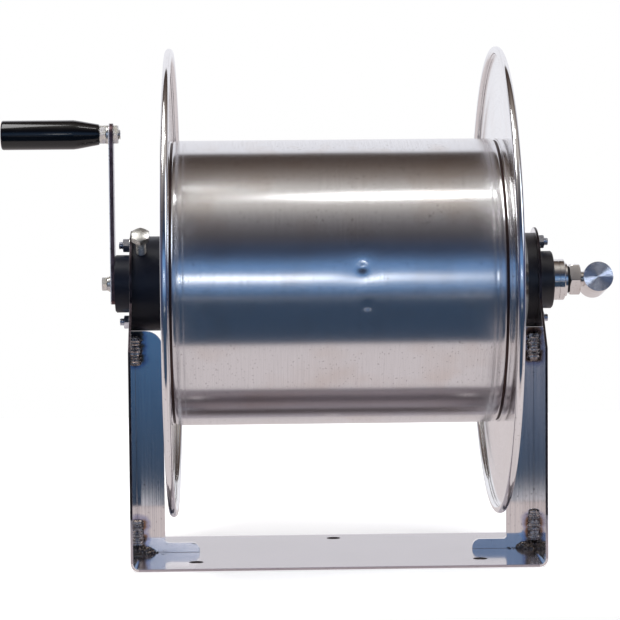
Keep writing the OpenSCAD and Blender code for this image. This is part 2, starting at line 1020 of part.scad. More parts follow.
module swivel_stem() {
  groove_r = journal_d / 2 + running_gap - seal_section + seal_squeeze;
  color("silver")
    on_axis()
      difference() {
        union() {
          rod_x(shaft_end - socket_l + edge, stem_hex_in + skin,
            pipe_thread_d / 2 - pipe_thread_gap);
          nut_x(stem_hex_in, stem_hex_out, stem_af);
          rod_x(stem_hex_out - skin, journal_end, journal_d / 2);
        }
        rod_x(shaft_end - socket_l, elbow_x + passage_d / 2, passage_d / 2 - edge / 2);
        rotate([-elbow_tilt, 0, 0])
          translate([elbow_x, 0, 0])
            rotate([-90, 0, 0])
              cylinder(h = elbow_d, r = passage_d / 2 - edge);
        for (i = [0, 1])
          ring_x(seal_x(i) - seal_section / 2, seal_x(i) + seal_section / 2, journal_d, groove_r);
        ring_x(lock_ring_x - lock_ring_t / 2 - skin, lock_ring_x + lock_ring_t / 2 + skin,
          journal_d, journal_d / 2 - lock_ring_depth);
      }
}

module stem_seal_washer() {
  color("dimgray")
    on_axis()
      ring_x(shaft_end, stem_hex_in, seal_washer_d / 2, pipe_thread_d / 2 + running_gap);
}

module swivel_elbow() {
  color("gainsboro")
    on_axis()
      rotate([-elbow_tilt, 0, 0])
        difference() {
          translate([elbow_x, -elbow_front, 0])
            rotate([-90, 0, 0])
              cylinder(h = elbow_front + elbow_rear, d = elbow_d);
          rod_x(elbow_x - elbow_d, journal_end + edge, journal_d / 2 + running_gap);
          translate([elbow_x, 0, 0])
            rotate([-90, 0, 0])
              cylinder(h = elbow_rear + edge, d = passage_d);
          translate([elbow_x, elbow_rear - socket_l, 0])
            rotate([-90, 0, 0])
              cylinder(h = socket_l + edge, d = pipe_thread_d);
        }
}

// Two seal rings of square section in the stem's grooves
module swivel_seal_rings() {
  color("black")
    on_axis()
      for (i = [0, 1])
        ring_x(seal_x(i) - seal_section / 2 + skin / 2, seal_x(i) + seal_section / 2 - skin / 2,
          journal_d / 2, journal_d / 2 - seal_section + 2 * seal_squeeze + running_gap);
}

// The ring that locks the elbow on the stem
module swivel_lock_ring() {
  color("silver")
    on_axis()
      ring_x(lock_ring_x - lock_ring_t / 2, lock_ring_x + lock_ring_t / 2, journal_d / 2,
        journal_d / 2 - lock_ring_depth + running_gap);
}

u_frame();
left_gusset();
right_gusset();
left_gusset_welds();
right_gusset_welds();
left_housing();
right_housing();
left_outer_bush();
left_inner_bush();
right_bush();
left_housing_bolts();
right_housing_bolts();
left_housing_nuts();
right_housing_nuts();
housing_washers();
brake_screw();
brake_shoe();
drum_shell();
left_drum_head();
right_drum_head();
left_disc();
right_disc();
crank_axle();
hollow_shaft();
left_disc_screws();
right_disc_screws();
left_disc_nuts();
right_disc_nuts();
inner_elbow();
outlet_pipe();
outlet_nuts();
shaft_collar();
collar_set_screw();
crank_arm();
crank_bolt();
crank_washer();
crank_lock_washer();
grip_spindle();
spindle_lock_washer();
spindle_nut();
grip();
grip_cap();
swivel_stem();
stem_seal_washer();
swivel_elbow();
swivel_seal_rings();
swivel_lock_ring();
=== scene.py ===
import math

import bmesh
import bpy
from mathutils import Matrix, Vector, noise


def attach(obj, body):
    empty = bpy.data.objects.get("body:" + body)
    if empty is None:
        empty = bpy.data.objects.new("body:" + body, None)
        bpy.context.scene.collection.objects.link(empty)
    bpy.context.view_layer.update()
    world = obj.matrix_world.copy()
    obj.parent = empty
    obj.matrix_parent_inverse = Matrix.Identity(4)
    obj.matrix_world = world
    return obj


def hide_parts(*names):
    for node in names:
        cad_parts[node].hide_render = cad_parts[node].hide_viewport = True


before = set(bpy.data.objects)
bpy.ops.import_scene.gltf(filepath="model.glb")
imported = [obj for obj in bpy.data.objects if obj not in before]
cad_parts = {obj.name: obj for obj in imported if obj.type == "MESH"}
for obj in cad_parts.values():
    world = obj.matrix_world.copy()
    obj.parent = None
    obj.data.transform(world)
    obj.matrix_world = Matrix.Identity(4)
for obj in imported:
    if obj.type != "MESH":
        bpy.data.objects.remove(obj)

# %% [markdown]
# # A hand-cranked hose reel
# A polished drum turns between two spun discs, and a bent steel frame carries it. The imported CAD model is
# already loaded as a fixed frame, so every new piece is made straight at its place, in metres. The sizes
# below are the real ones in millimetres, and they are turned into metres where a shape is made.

MM = 0.001
AXIS_HEIGHT = 276
SCENE = bpy.context.scene
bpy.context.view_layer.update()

# %% [markdown]
# ## Tools for shapes
# Most of this reel came off a lathe, so most pieces start as half of their outline and are spun about the X
# axis. Stretched cylinders would work too, but an outline holds every step, groove and chamfer in one short
# list. The spun shape is then slid, turned or mirrored to its place.

# %% Spin an outline into a turned shape
def merge(bm, gap):
    bmesh.ops.remove_doubles(bm, verts=bm.verts, dist=gap)


def spun(bm, geom, degrees, steps, creep=0, merge=False):
    bmesh.ops.spin(bm, geom=geom, cent=(0, 0, 0), axis=(1, 0, 0), dvec=(creep * MM / steps, 0, 0),
                   angle=math.radians(degrees), steps=steps, use_merge=merge)


def chain(bm, points):
    verts = [bm.verts.new((x * MM, 0, r * MM)) for x, r in points]
    return verts, [bm.edges.new(ends) for ends in zip(verts, verts[1:])]


def turned(outline, steps=96, closed=True):
    bm = bmesh.new()
    verts, lines = chain(bm, outline)
    if closed:
        lines.append(bm.edges.new((verts[-1], verts[0])))
    spun(bm, verts + lines, 360, steps, merge=True)
    merge(bm, 1e-7)
    return bm


def shifted(bm, x=0, y=0, z=0):
    bmesh.ops.translate(bm, vec=Vector((x, y, z)) * MM, verts=bm.verts)
    return bm


def swung(bm, degrees, axis, centre=(0, 0, 0)):
    bmesh.ops.rotate(bm, cent=Vector(centre) * MM, matrix=Matrix.Rotation(math.radians(degrees), 3, axis),
                     verts=bm.verts)
    return bm


def on_side(bm, side):
    bmesh.ops.scale(bm, vec=(side, 1, 1), verts=bm.verts)
    return bm


def on_axis(bm, side=1):
    return on_side(shifted(bm, z=AXIS_HEIGHT), side)


def points_of(geom):
    return [g for g in geom if isinstance(g, bmesh.types.BMVert)]


SIDES = (("left", -1), ("right", 1))
SIDEWAYS = Matrix.Rotation(math.pi / 2, 4, "Y")


def circle_at(bm, radius, place, segments=48, turn=Matrix.Identity(4)):
    made = bmesh.ops.create_circle(bm, cap_ends=False, radius=radius * MM, segments=segments,
                                   matrix=Matrix.Translation(Vector(place) * MM) @ turn)
    return list({e for v in made["verts"] for e in v.link_edges})

# %% [markdown]
# A real edge is never perfectly sharp: a narrow bevel catches a line of light and makes a shape look solid.
# Every edge that turns by more than a given angle gets one.

# %% Ease the sharp edges, join shapes, and repeat a shape
def eased(bm, width, angle=35, segments=2, clamp=True):
    sharp = [e for e in bm.edges if e.is_manifold and e.calc_face_angle() > math.radians(angle)]
    bmesh.ops.bevel(bm, geom=sharp, offset=width * MM, offset_type="OFFSET", segments=segments,
                    profile=0.5, affect="EDGES", clamp_overlap=clamp, material=-1)
    return bm


def joined(*shapes):
    whole = bmesh.new()
    for shape in shapes:
        part = bpy.data.meshes.new("joining")
        shape.to_mesh(part)
        whole.from_mesh(part)
        shape.free()
        bpy.data.meshes.remove(part)
    return whole


def repeated(bm, count, degrees):
    step = Matrix.Rotation(math.radians(degrees), 3, "X")
    part = bm.verts[:] + bm.edges[:] + bm.faces[:]
    for _ in range(count - 1):
        part = bmesh.ops.duplicate(bm, geom=part)["geom"]
        bmesh.ops.rotate(bm, cent=(0, 0, 0), matrix=step, verts=points_of(part))
    return bm

# %% [markdown]
# Flat pieces are cut from plate. A few points give the outline, and the bevel operator in its vertex mode
# rounds just the corners that are round on the real piece. The face is then pulled out to its thickness.

# %% Cut a plate
def cut_plate(corners, rounds, thickness):
    bm = bmesh.new()
    verts = [bm.verts.new(Vector(corner) * MM) for corner in corners]
    bm.faces.new(verts)
    for chosen, radius, segments in rounds:
        bmesh.ops.bevel(bm, geom=[verts[i] for i in chosen], offset=radius * MM, offset_type="OFFSET",
                        segments=segments, profile=0.5, affect="VERTICES", material=-1)
    pulled = bmesh.ops.extrude_face_region(bm, geom=bm.faces[:])["geom"]
    bmesh.ops.translate(bm, vec=Vector(thickness) * MM, verts=points_of(pulled))
    return bm

# %% [markdown]
# A hexagon is milled from a turned blank, as on a real bolt: six planes cut the round blank, and where each
# flat meets the turned chamfer the curved line of a real bolt head appears by itself. Each cut is closed
# with one new face. The same cut without clearing only draws a line of points across a shape.

# %% Mill six flats, and cut with a plane
def cut_with(bm, point, normal, clear=True):
    cut = bmesh.ops.bisect_plane(bm, geom=bm.verts[:] + bm.edges[:] + bm.faces[:], dist=1e-7,
                                 plane_co=Vector(point) * MM, plane_no=normal, clear_outer=clear)
    return [g for g in cut["geom_cut"] if isinstance(g, bmesh.types.BMEdge)]


def cut_off(bm, point, normal):
    bmesh.ops.holes_fill(bm, edges=cut_with(bm, point, normal), sides=0)
    return bm


def hexagon(start, end, across_flats, hole_r=0):
    face_r = across_flats / 2 - 0.2
    corner_r = across_flats / math.sqrt(3) + 0.2
    slope = (corner_r - face_r) * math.tan(math.radians(30))
    outline = [(start, hole_r), (start, face_r), (start + slope, corner_r), (end - slope, corner_r),
               (end, face_r), (end, hole_r)]
    bm = turned(outline, steps=72, closed=hole_r > 0)
    for flat in range(6):
        turn = math.radians(60 * flat)
        normal = Vector((0, math.sin(turn), math.cos(turn)))
        cut_off(bm, normal * across_flats / 2, normal)
    return bm

# %% [markdown]
# A thread is a zigzag outline that moves along by one pitch while it goes once round. The last row of points
# then lands on the first row, one pitch further on, and merging the doubles joins them into a true helix.

# %% Threads, washers and spring washers
M8, M10 = (8, 1.25), (10, 1.5)


def thread(start, end, diameter, pitch, steps=32, lead_in=0.8, bore_r=0):
    crest = diameter / 2
    root = crest - 0.6 * pitch
    turns = int((end - start) / pitch) + 4
    bm = bmesh.new()
    teeth = ((0, root), (0.12, root), (0.45, crest), (0.6, crest))
    verts, lines = chain(bm, [(start + (i - 2) * pitch + share * pitch, r) for i in range(turns)
                              for share, r in teeth])
    spun(bm, verts + lines, 360, steps, pitch)
    merge(bm, 1e-6)
    rims = [cut_with(bm, (start, 0, 0), (-1, 0, 0)), cut_with(bm, (end, 0, 0), (1, 0, 0))]
    if bore_r:
        bores = [circle_at(bm, bore_r, (x, 0, 0), steps, SIDEWAYS) for x in (start, end)]
        for rim, bore in zip(rims, bores):
            bmesh.ops.bridge_loops(bm, edges=rim + bore)
        bmesh.ops.bridge_loops(bm, edges=bores[0] + bores[1])
    else:
        bmesh.ops.holes_fill(bm, edges=rims[0] + rims[1], sides=0)
    for v in bm.verts:
        most = (crest - max(0, v.co.x / MM - end + lead_in) * 0.8) * MM
        r = math.hypot(v.co.y, v.co.z)
        if r > most:
            v.co.y *= most / r
            v.co.z *= most / r
    return bm


def washer(start, end, outer_d, inner_d, steps=64):
    ring = [(start, inner_d / 2), (start, outer_d / 2), (end, outer_d / 2), (end, inner_d / 2)]
    return eased(turned(ring, steps), 0.18)


def spring_washer(start, end, outer_d, inner_d):
    bm = bmesh.new()
    rise = 0.35
    section = [(start, inner_d / 2), (start, outer_d / 2), (end - rise, outer_d / 2), (end - rise, inner_d / 2)]
    face = bm.faces.new([bm.verts.new((x * MM, 0, r * MM)) for x, r in section])
    spun(bm, [face] + face.edges[:] + face.verts[:], 352, 60, rise)
    return eased(bm, 0.12)

# %% [markdown]
# Some shapes, such as a bored elbow, are already right in the CAD model but have knife-sharp edges. A copy of
# such a node is merged into one clean mesh and its edges are eased, and the copy stands for it. Where flat
# faces meet narrow bevels, weighted normals keep the large faces from looking domed.

# %% Copy a CAD node, and finish a piece
def linked(name, data):
    made = bpy.data.objects.new(name, data)
    SCENE.collection.objects.link(made)
    return made


def from_cad(name):
    bm = bmesh.new()
    bm.from_mesh(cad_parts[name].data)
    merge(bm, 2e-6)
    bmesh.ops.dissolve_limit(bm, angle_limit=math.radians(0.4), verts=bm.verts, edges=bm.edges)
    return bm


def finish_piece(name, bm, body, finish, nodes=(), sharp=32, flat=False):
    merge(bm, 1e-7)
    bmesh.ops.recalc_face_normals(bm, faces=bm.faces)
    for edge in bm.edges:
        edge.smooth = len(edge.link_faces) == 2 and edge.calc_face_angle() < math.radians(sharp)
    for face in bm.faces:
        face.smooth = True
    mesh = bpy.data.meshes.new(name)
    bm.to_mesh(mesh)
    open_edges = sum(not e.is_manifold for e in bm.edges)
    bm.free()
    piece = linked(name, mesh)
    mesh.materials.append(FINISHES[finish])
    if flat:
        weigh = piece.modifiers.new("large_faces_stay_flat", "WEIGHTED_NORMAL")
        weigh.keep_sharp = True
    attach(piece, body)
    if nodes:
        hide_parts(*nodes)
    print(f"{name}: {len(mesh.polygons)} faces, {open_edges} open edges")
    return piece


def paint(piece, finish, chosen):
    materials = piece.data.materials
    materials.append(FINISHES[finish])
    for face in piece.data.polygons:
        if chosen(face):
            face.material_index = len(materials) - 1

# %% [markdown]
# ## Finishes
# Each finish is a small network of nodes. Noise is read from Object coordinates, which are metres on the
# model, so a grain of 400 has features about 2.5 mm long. Stretching the coordinates turns round specks
# into the long scratches of brushed metal. Colours are written as a screen shows them, from 0 to 255.

# %% Small helpers for node networks
def linear(r, g, b):
    return tuple(((c / 255 + 0.055) / 1.055) ** 2.4 if c > 10 else c / 3295 for c in (r, g, b)) + (1,)


def feed(tree, sockets, inputs):
    for key, value in inputs.items():
        if isinstance(value, bpy.types.NodeSocket):
            tree.links.new(value, sockets[key])
        elif sockets[key].type == "RGBA" and len(value) == 3:
            sockets[key].default_value = linear(*value)
        else:
            sockets[key].default_value = value


def add(tree, kind, inputs=None, **settings):
    made = tree.nodes.new("ShaderNode" + kind)
    for key, value in settings.items():
        setattr(made, key, value)
    feed(tree, made.inputs, inputs or {})
    return made


def maths(tree, operation, *values):
    return add(tree, "Math", dict(enumerate(values)), operation=operation).outputs[0]


def vectors(tree, operation, *values, result="Vector"):
    return add(tree, "VectorMath", dict(enumerate(values)), operation=operation).outputs[result]


def split(tree, vector):
    return add(tree, "SeparateXYZ", {"Vector": vector}).outputs


def least(tree, values):
    found = values[0]
    for value in values[1:]:
        found = maths(tree, "MINIMUM", found, value)
    return found


def ranged(tree, value, low, high, start=0.0, end=1.0):
    limits = {"From Min": low, "From Max": high, "To Min": start, "To Max": end}
    return add(tree, "MapRange", {"Value": value, **limits}).outputs[0]


def cloudy(tree, place, scale, detail=2.0):
    return add(tree, "TexNoise", {"Vector": place, "Scale": scale, "Detail": detail}).outputs["Fac"]


def spots(tree, place, scale, low, high, detail=2.0, most=1.0):
    return ranged(tree, cloudy(tree, place, scale, detail), low, high, 0.0, most)


def mixed(tree, amount, first, second, **settings):
    return add(tree, "Mix", {"Factor": amount, 6: first, 7: second}, data_type="RGBA", **settings).outputs[2]


def ramp(tree, place, stops):
    node = add(tree, "ValToRGB", {"Fac": place})
    elements = node.color_ramp.elements
    for element, (at, tone) in zip(elements, (stops[0], stops[-1])):
        element.position, element.color = at, linear(*tone)
    for at, tone in stops[1:-1]:
        elements.new(at).color = linear(*tone)
    return node.outputs[0]


def bumped(tree, height, strength, distance, **under):
    return add(tree, "Bump", {"Height": height, "Strength": strength, "Distance": distance, **under}).outputs[0]


def new_finish(name):
    material = bpy.data.materials.new(name)
    material.use_nodes = True
    tree = material.node_tree
    plain = add(tree, "TexCoord").outputs["Object"]
    return material, tree, tree.nodes["Principled BSDF"].inputs, plain

# %% [markdown]
# The drum and the discs were polished while they spun, so their grain runs round the axis. It needs
# coordinates that follow the turning: distance along the axis, angle, and radius. The shader's own anisotropy
# smears each reflection across the grain. A slow bump bends the reflections a little, and painted shade
# darkens the groove beside each disc.

# %% Polished, turned stainless steel
GROOVE_R = 141.4


def turning_place(tree, place, along, around, outward):
    x, y, z = split(tree, place)
    height = maths(tree, "SUBTRACT", z, AXIS_HEIGHT * MM)
    square = maths(tree, "ADD", maths(tree, "MULTIPLY", y, y), maths(tree, "MULTIPLY", height, height))
    measures = (x, along), (maths(tree, "ARCTAN2", y, height), around), (maths(tree, "SQRT", square), outward)
    scaled = [maths(tree, "MULTIPLY", measure, scale) for measure, scale in measures]
    return add(tree, "CombineXYZ", dict(enumerate(scaled))).outputs[0]


def polished_steel(name, colour, tint, roughness, anisotropy, along, outward, wave, painted_groove_shade=False):
    material, tree, shader, plain = new_finish(name)
    grain = cloudy(tree, turning_place(tree, plain, along, 3.0, outward), 1.0, 4.0)
    shade = mixed(tree, spots(tree, plain, 22.0, 0.5, 0.85), colour, tint)
    shade = mixed(tree, ranged(tree, grain, 0.45, 0.75, 0.0, 0.2), shade, (150, 146, 146))
    shade = mixed(tree, spots(tree, plain, 500.0, 0.74, 0.79, 0.0, 0.35), shade, (130, 122, 118))
    rough = ranged(tree, grain, 0.0, 1.0, roughness * 0.9, roughness * 1.1)
    # Painted shade: below the groove's radius the colour turns dark and the surface rougher, for the shade in that
    # narrow recess.
    if painted_groove_shade:
        radius = split(tree, turning_place(tree, plain, 1.0, 1.0, 1.0))[2]
        in_groove_shade = maths(tree, "LESS_THAN", radius, GROOVE_R * MM)
        shade = mixed(tree, in_groove_shade, shade, (84, 68, 66))
        rough = maths(tree, "ADD", rough, maths(tree, "MULTIPLY", in_groove_shade, 0.3))
    if anisotropy:
        around = add(tree, "Tangent", direction_type="RADIAL", axis="X").outputs[0]
        feed(tree, shader, {"Anisotropic": anisotropy, "Anisotropic Rotation": 0.25, "Tangent": around})
    slow = bumped(tree, cloudy(tree, plain, 9.0, 1.0), 1.0, wave)
    feed(tree, shader, {"Base Color": shade, "Roughness": rough, "Metallic": 1.0,
                        "Normal": bumped(tree, grain, 0.1, 0.00001, Normal=slow)})
    return material

# %% [markdown]
# A lathe tool left one fine groove a turn on the elbow's flat face, and such rings throw a point of light out
# into two bright wedges. Rings of bump do the same here, made uneven by noise. Painted wedges would be
# simpler, but they would stay in place when the elbow turns.

# %% A face with turning marks
def faced_steel(name, centre, axis, pitch):
    material, tree, shader, plain = new_finish(name)
    away = vectors(tree, "SUBTRACT", plain, Vector(centre) * MM)
    radius = vectors(tree, "LENGTH", vectors(tree, "CROSS_PRODUCT", away, Vector(axis)), result="Value")
    rings = maths(tree, "PINGPONG", maths(tree, "MULTIPLY", radius, 2 / (pitch * MM)), 1.0)
    uneven = maths(tree, "ADD", maths(tree, "MULTIPLY", cloudy(tree, plain, 500.0, 1.0), 0.6), 0.7)
    marks = bumped(tree, maths(tree, "MULTIPLY", rings, uneven), 1.0, 0.21 * pitch * MM)
    feed(tree, shader, {"Base Color": (214, 216, 226), "Metallic": 1.0, "Roughness": 0.12, "Normal": marks})
    return material

# %% [markdown]
# The frame is bright sheet with a straight rolled grain, which runs up the uprights. Heat from welding leaves
# rings of brown and blue beside each bead, and such a ring needs only the distance from the weld, sent
# through a ramp. The walls of the fixing holes get painted shade, also found by distance. The base has a thin
# clear glaze over duller metal.

# %% Bright sheet steel with a rolled grain and heat tint
WELD_SPOTS = [(side * 200, 0, z) for side in (-1, 1) for z in (6, 18, 30, 200, 212, 222)]
HEAT_TONES = [(0.36, (70, 52, 46)), (0.48, (150, 120, 98)), (0.6, (196, 200, 226)), (0.8, (255, 255, 255))]
HOLES, HOLE_R, HOLE_SHADE_RIM = [(-141, -60), (141, -60), (0, 75)], 7, 0.05


def rolled_steel(name, colour, cloud, grain_scale, roughness, heat=True, metal=1.0, glaze=0.0, painted_hole_shade=False,
                 lines=0.0):
    material, tree, shader, plain = new_finish(name)
    stretched = add(tree, "Mapping", {"Vector": plain, "Scale": grain_scale}).outputs[0]
    streak = cloudy(tree, stretched, 1.0, 3.0)
    shade = mixed(tree, spots(tree, plain, 14.0, 0.35, 0.8, most=0.5), colour, cloud)
    shade = mixed(tree, ranged(tree, streak, 0.42, 0.72, 0.0, lines), shade, (158, 158, 166))
    shade = mixed(tree, spots(tree, plain, 420.0, 0.73, 0.78, 0.0, 0.5), shade, (120, 112, 112))
    if heat:
        gaps = [vectors(tree, "DISTANCE", plain, Vector(spot) * MM, result="Value") for spot in WELD_SPOTS]
        wobbly = maths(tree, "ADD", least(tree, gaps), spots(tree, plain, 140.0, 0.2, 0.8, most=0.004))
        tint = ramp(tree, maths(tree, "MULTIPLY", wobbly, 52), HEAT_TONES)
        shade = mixed(tree, 1.0, shade, tint, blend_type="MULTIPLY")
    # Painted shade: the walls of the fixing holes are darkened, for the shade inside them.
    if painted_hole_shade:
        level = vectors(tree, "MULTIPLY", plain, (1, 1, 0))
        gaps = [vectors(tree, "DISTANCE", level, Vector((x, y, 0)) * MM, result="Value") for x, y in HOLES]
        in_hole_shade = maths(tree, "LESS_THAN", least(tree, gaps), (HOLE_R + HOLE_SHADE_RIM) * MM)
        shade = mixed(tree, in_hole_shade, shade, (40, 32, 32))
    feed(tree, shader, {"Base Color": shade, "Metallic": metal, "Coat Weight": glaze, "Coat Roughness": 0.06,
                        "Coat IOR": 1.9, "Normal": bumped(tree, streak, 0.12, 0.00006),
                        "Roughness": ranged(tree, streak, 0.0, 1.0, roughness * 0.85, roughness * 1.15)})
    return material

# %% [markdown]
# Small hardware is zinc plated: bright, a little yellow, and slightly rough. Welds are a mix of bare metal,
# brown oxide and black slag, with pale spots that are partly oxide and partly painted glints, and they darken
# towards the foot. Black housings and the grip are plastic-like coats of different gloss: satin with a fine
# texture, and a near mirror.

# %% Plain metals, weld metal, plastics and rubber
def plain_metal(name, colour, tint, roughness, scale=180.0, metal=1.0):
    material, tree, shader, plain = new_finish(name)
    patch = spots(tree, plain, scale, 0.3, 0.7)
    feed(tree, shader, {"Base Color": mixed(tree, patch, colour, tint), "Metallic": metal,
                        "Roughness": ranged(tree, patch, 0.0, 1.0, roughness * 0.75, roughness * 1.25),
                        "Normal": bumped(tree, cloudy(tree, plain, 900.0), 0.3, 0.00003)})
    return material


def weld_metal(name):
    material, tree, shader, plain = new_finish(name)
    patch = spots(tree, plain, 260.0, 0.35, 0.65, 3.0)
    # Pale, less metallic spots: partly white oxide, partly painted glints.
    oxide_and_glints = spots(tree, plain, 520.0, 0.5, 0.62)
    shade = mixed(tree, patch, (226, 212, 200), (62, 50, 46))
    shade = mixed(tree, oxide_and_glints, shade, (250, 242, 236))
    # The colour darkens below a height of 12 mm, towards the foot.
    shade = mixed(tree, ranged(tree, split(tree, plain)[2], 0.012, 0.007, 0.0, 0.75), shade, (44, 36, 34))
    feed(tree, shader, {"Base Color": shade, "Roughness": ranged(tree, patch, 0.0, 1.0, 0.16, 0.4),
                        "Metallic": maths(tree, "SUBTRACT", 1.0, maths(tree, "MULTIPLY", oxide_and_glints, 0.7)),
                        "Normal": bumped(tree, patch, 0.7, 0.0006)})
    return material


def moulded(name, colour, worn_and_lit, roughness, texture, depth, coat=0.0, shine=0.5):
    material, tree, shader, plain = new_finish(name)
    patch = spots(tree, plain, 60.0, 0.4, 0.75, 4.0)
    feed(tree, shader, {"Base Color": mixed(tree, patch, colour, worn_and_lit),
                        "Roughness": ranged(tree, patch, 0.0, 1.0, roughness * 0.85, roughness * 1.2),
                        "Normal": bumped(tree, cloudy(tree, plain, texture, 3.0), 0.4, depth),
                        "Coat Weight": coat, "Coat Roughness": 0.1, "Specular IOR Level": shine})
    return material

# %% [markdown]
# Each kind of surface gets its own finish, also where two pieces are of one material: the right housing is
# painted lighter than the left one, as painted light from the upper right, the brake screw is duller than the
# bolts, and a cut edge is darker than the sheet's face.

# %% Make the finishes
ELBOW_FACE = (265.3, -17.6, AXIS_HEIGHT + 3.7)
ELBOW_OUT = (0, -math.cos(math.radians(12)), math.sin(math.radians(12)))
FINISHES = {
    "faced": faced_steel("faced_steel", ELBOW_FACE, ELBOW_OUT, 0.6),
    "drum": polished_steel("drum_steel", (238, 238, 240), (230, 223, 219), 0.19, 0.5, 2600, 300, 0.0004, True),
    "disc": polished_steel("disc_steel", (250, 250, 251), (244, 241, 240), 0.12, 0.5, 300, 1500, 0.0003),
    "shaft": polished_steel("turned_steel", (240, 238, 236), (220, 214, 210), 0.13, 0, 4000, 4000, 0),
    "frame": rolled_steel("frame_sheet", (244, 240, 238), (232, 228, 230), (1200, 1200, 8), 0.05, metal=0.95,
                          lines=0.4),
    "base": rolled_steel("base_sheet", (188, 178, 182), (172, 163, 167), (900, 12, 900), 0.13, metal=0.7,
                         glaze=0.35, painted_hole_shade=True),
    "crank": rolled_steel("crank_bar", (236, 234, 238), (224, 222, 228), (700, 700, 20), 0.3, heat=False,
                          metal=0.4),
    "edge": plain_metal("cut_edge", (74, 66, 70), (40, 34, 38), 0.4, 120),
    "torn": plain_metal("torn_edge", (124, 100, 102), (84, 68, 72), 0.4, 120),
    "bronze": plain_metal("bush_bronze", (190, 150, 96), (150, 112, 70), 0.4),
    "zinc": plain_metal("zinc_plate", (238, 235, 222), (214, 214, 218), 0.24, metal=0.8),
    "hardware": plain_metal("bright_hardware", (226, 230, 238), (196, 198, 206), 0.16, 300),
    "screw": plain_metal("dull_zinc", (208, 208, 202), (160, 158, 154), 0.34, 300, 0.9),
    "weld": weld_metal("weld_beads"),
    "housing": moulded("black_housing", (20, 24, 36), (24, 26, 36), 0.42, 900, 0.00004, shine=0.25),
    # Painted light: the right housing's colours are lighter than the left one's, as if lit from the upper right.
    "worn_and_lit": moulded("painted_light_housing", (27, 26, 33), (50, 45, 45), 0.42, 900, 0.00004),
    "grip": moulded("grip_black", (5, 5, 8), (8, 8, 10), 0.16, 500, 0.000005, 0.6, 0.3),
    "nylon": moulded("brake_nylon", (224, 216, 196), (196, 186, 160), 0.5, 400, 0.0001),
    "rubber": moulded("seal_rubber", (30, 30, 30), (44, 42, 42), 0.7, 700, 0.0001),
}

# %% [markdown]
# ## The frame
# One sheet is cut flat with its holes and then bent twice. Its outer skin is made first: a flat base, a
# quarter bend spun from the base's end, and an upright. The skin is mirrored to the other side and given its
# thickness inwards, so the wall is even round the bends. Two level cuts let the sheet's cut edge change its
# finish: dark above, and pale below, where it was ground clean. The bevel isn't clamped, because a chance line
# across a flat face would narrow it, and so it is the same each time.

# %% Bend up the sheet
SHEET_T, HALF_DEPTH, WEB_OUT, BEND_OUT = 2.5, 97.5, 204, 8
FLAT_HALF = WEB_OUT - BEND_OUT
SHOULDER_Z, TOP_R = 215, 53
NECK_Z = SHOULDER_Z + HALF_DEPTH - TOP_R
NOSE_HOLE_R, BOLT_HOLE_R, BOLT_RISE = 29.2, 4.2, 38.5
EDGE_FADE = 51


def rim_of(bm, points):
    verts = [bm.verts.new(Vector(p) * MM) for p in points]
    return [bm.edges.new(ends) for ends in zip(verts, verts[1:] + verts[:1])]


def bent_frame():
    base = bmesh.new()
    edges = rim_of(base, [(-FLAT_HALF, -HALF_DEPTH, 0), (FLAT_HALF, -HALF_DEPTH, 0),
                          (FLAT_HALF, HALF_DEPTH, 0), (-FLAT_HALF, HALF_DEPTH, 0)])
    for x, y in HOLES:
        edges += circle_at(base, HOLE_R, (x, y, 0))
    bmesh.ops.triangle_fill(base, use_beauty=True, edges=edges, normal=(0, 0, -1))

    bend = bmesh.new()
    ends = [bend.verts.new(Vector((FLAT_HALF, y, 0)) * MM) for y in (-HALF_DEPTH, HALF_DEPTH)]
    line = bend.edges.new(ends)
    bmesh.ops.spin(bend, geom=ends + [line], cent=Vector((FLAT_HALF, 0, BEND_OUT)) * MM, axis=(0, -1, 0),
                   dvec=(0, 0, 0), angle=math.pi / 2, steps=10)

    upright = bmesh.new()
    rear = [(HALF_DEPTH, BEND_OUT), (HALF_DEPTH, SHOULDER_Z), (TOP_R, NECK_Z), (TOP_R, AXIS_HEIGHT)]
    front = [(-y, z) for y, z in reversed(rear)]
    top = rim_of(upright, [(WEB_OUT, y, z) for y, z in front[-1:] + rear + front[:-1]])[len(rear)]
    start = top.verts[0]
    upright.edges.remove(top)
    bmesh.ops.spin(upright, geom=[start], cent=Vector((WEB_OUT, 0, AXIS_HEIGHT)) * MM, axis=(1, 0, 0),
                   dvec=(0, 0, 0), angle=math.pi, steps=32)
    merge(upright, 1e-6)
    circle_at(upright, NOSE_HOLE_R, (WEB_OUT, 0, AXIS_HEIGHT), 64, SIDEWAYS)
    for rise in (-BOLT_RISE, BOLT_RISE):
        circle_at(upright, BOLT_HOLE_R, (WEB_OUT, 0, AXIS_HEIGHT + rise), 24, SIDEWAYS)
    bmesh.ops.triangle_fill(upright, use_beauty=True, edges=upright.edges[:], normal=(1, 0, 0))

    side = joined(bend, upright)
    merge(side, 1e-6)
    skin = joined(base, side, on_side(side.copy(), -1))
    merge(skin, 1e-6)
    bmesh.ops.recalc_face_normals(skin, faces=skin.faces)
    lowest = min(skin.faces, key=lambda f: f.calc_center_median().z)
    if lowest.normal.z > 0:
        bmesh.ops.reverse_faces(skin, faces=skin.faces)
    bmesh.ops.solidify(skin, geom=skin.faces[:], thickness=SHEET_T * MM)
    bmesh.ops.dissolve_limit(skin, angle_limit=math.radians(0.4), verts=skin.verts, edges=skin.edges)
    eased(skin, 0.35, angle=40, clamp=False)
    for height in (BEND_OUT, EDGE_FADE):
        cut_with(skin, (0, 0, height), (0, 0, 1), clear=False)
    for side in (-1, 1):
        cut_with(skin, (side * FLAT_HALF, 0, 0), (1, 0, 0), clear=False)
    return skin


def part_of_base(face):
    height = face.center.z / MM
    flat = height < SHEET_T + 0.3 and abs(face.center.x) < FLAT_HALF * MM
    return flat or abs(face.normal.x) < 0.7 and BEND_OUT < height <= EDGE_FADE


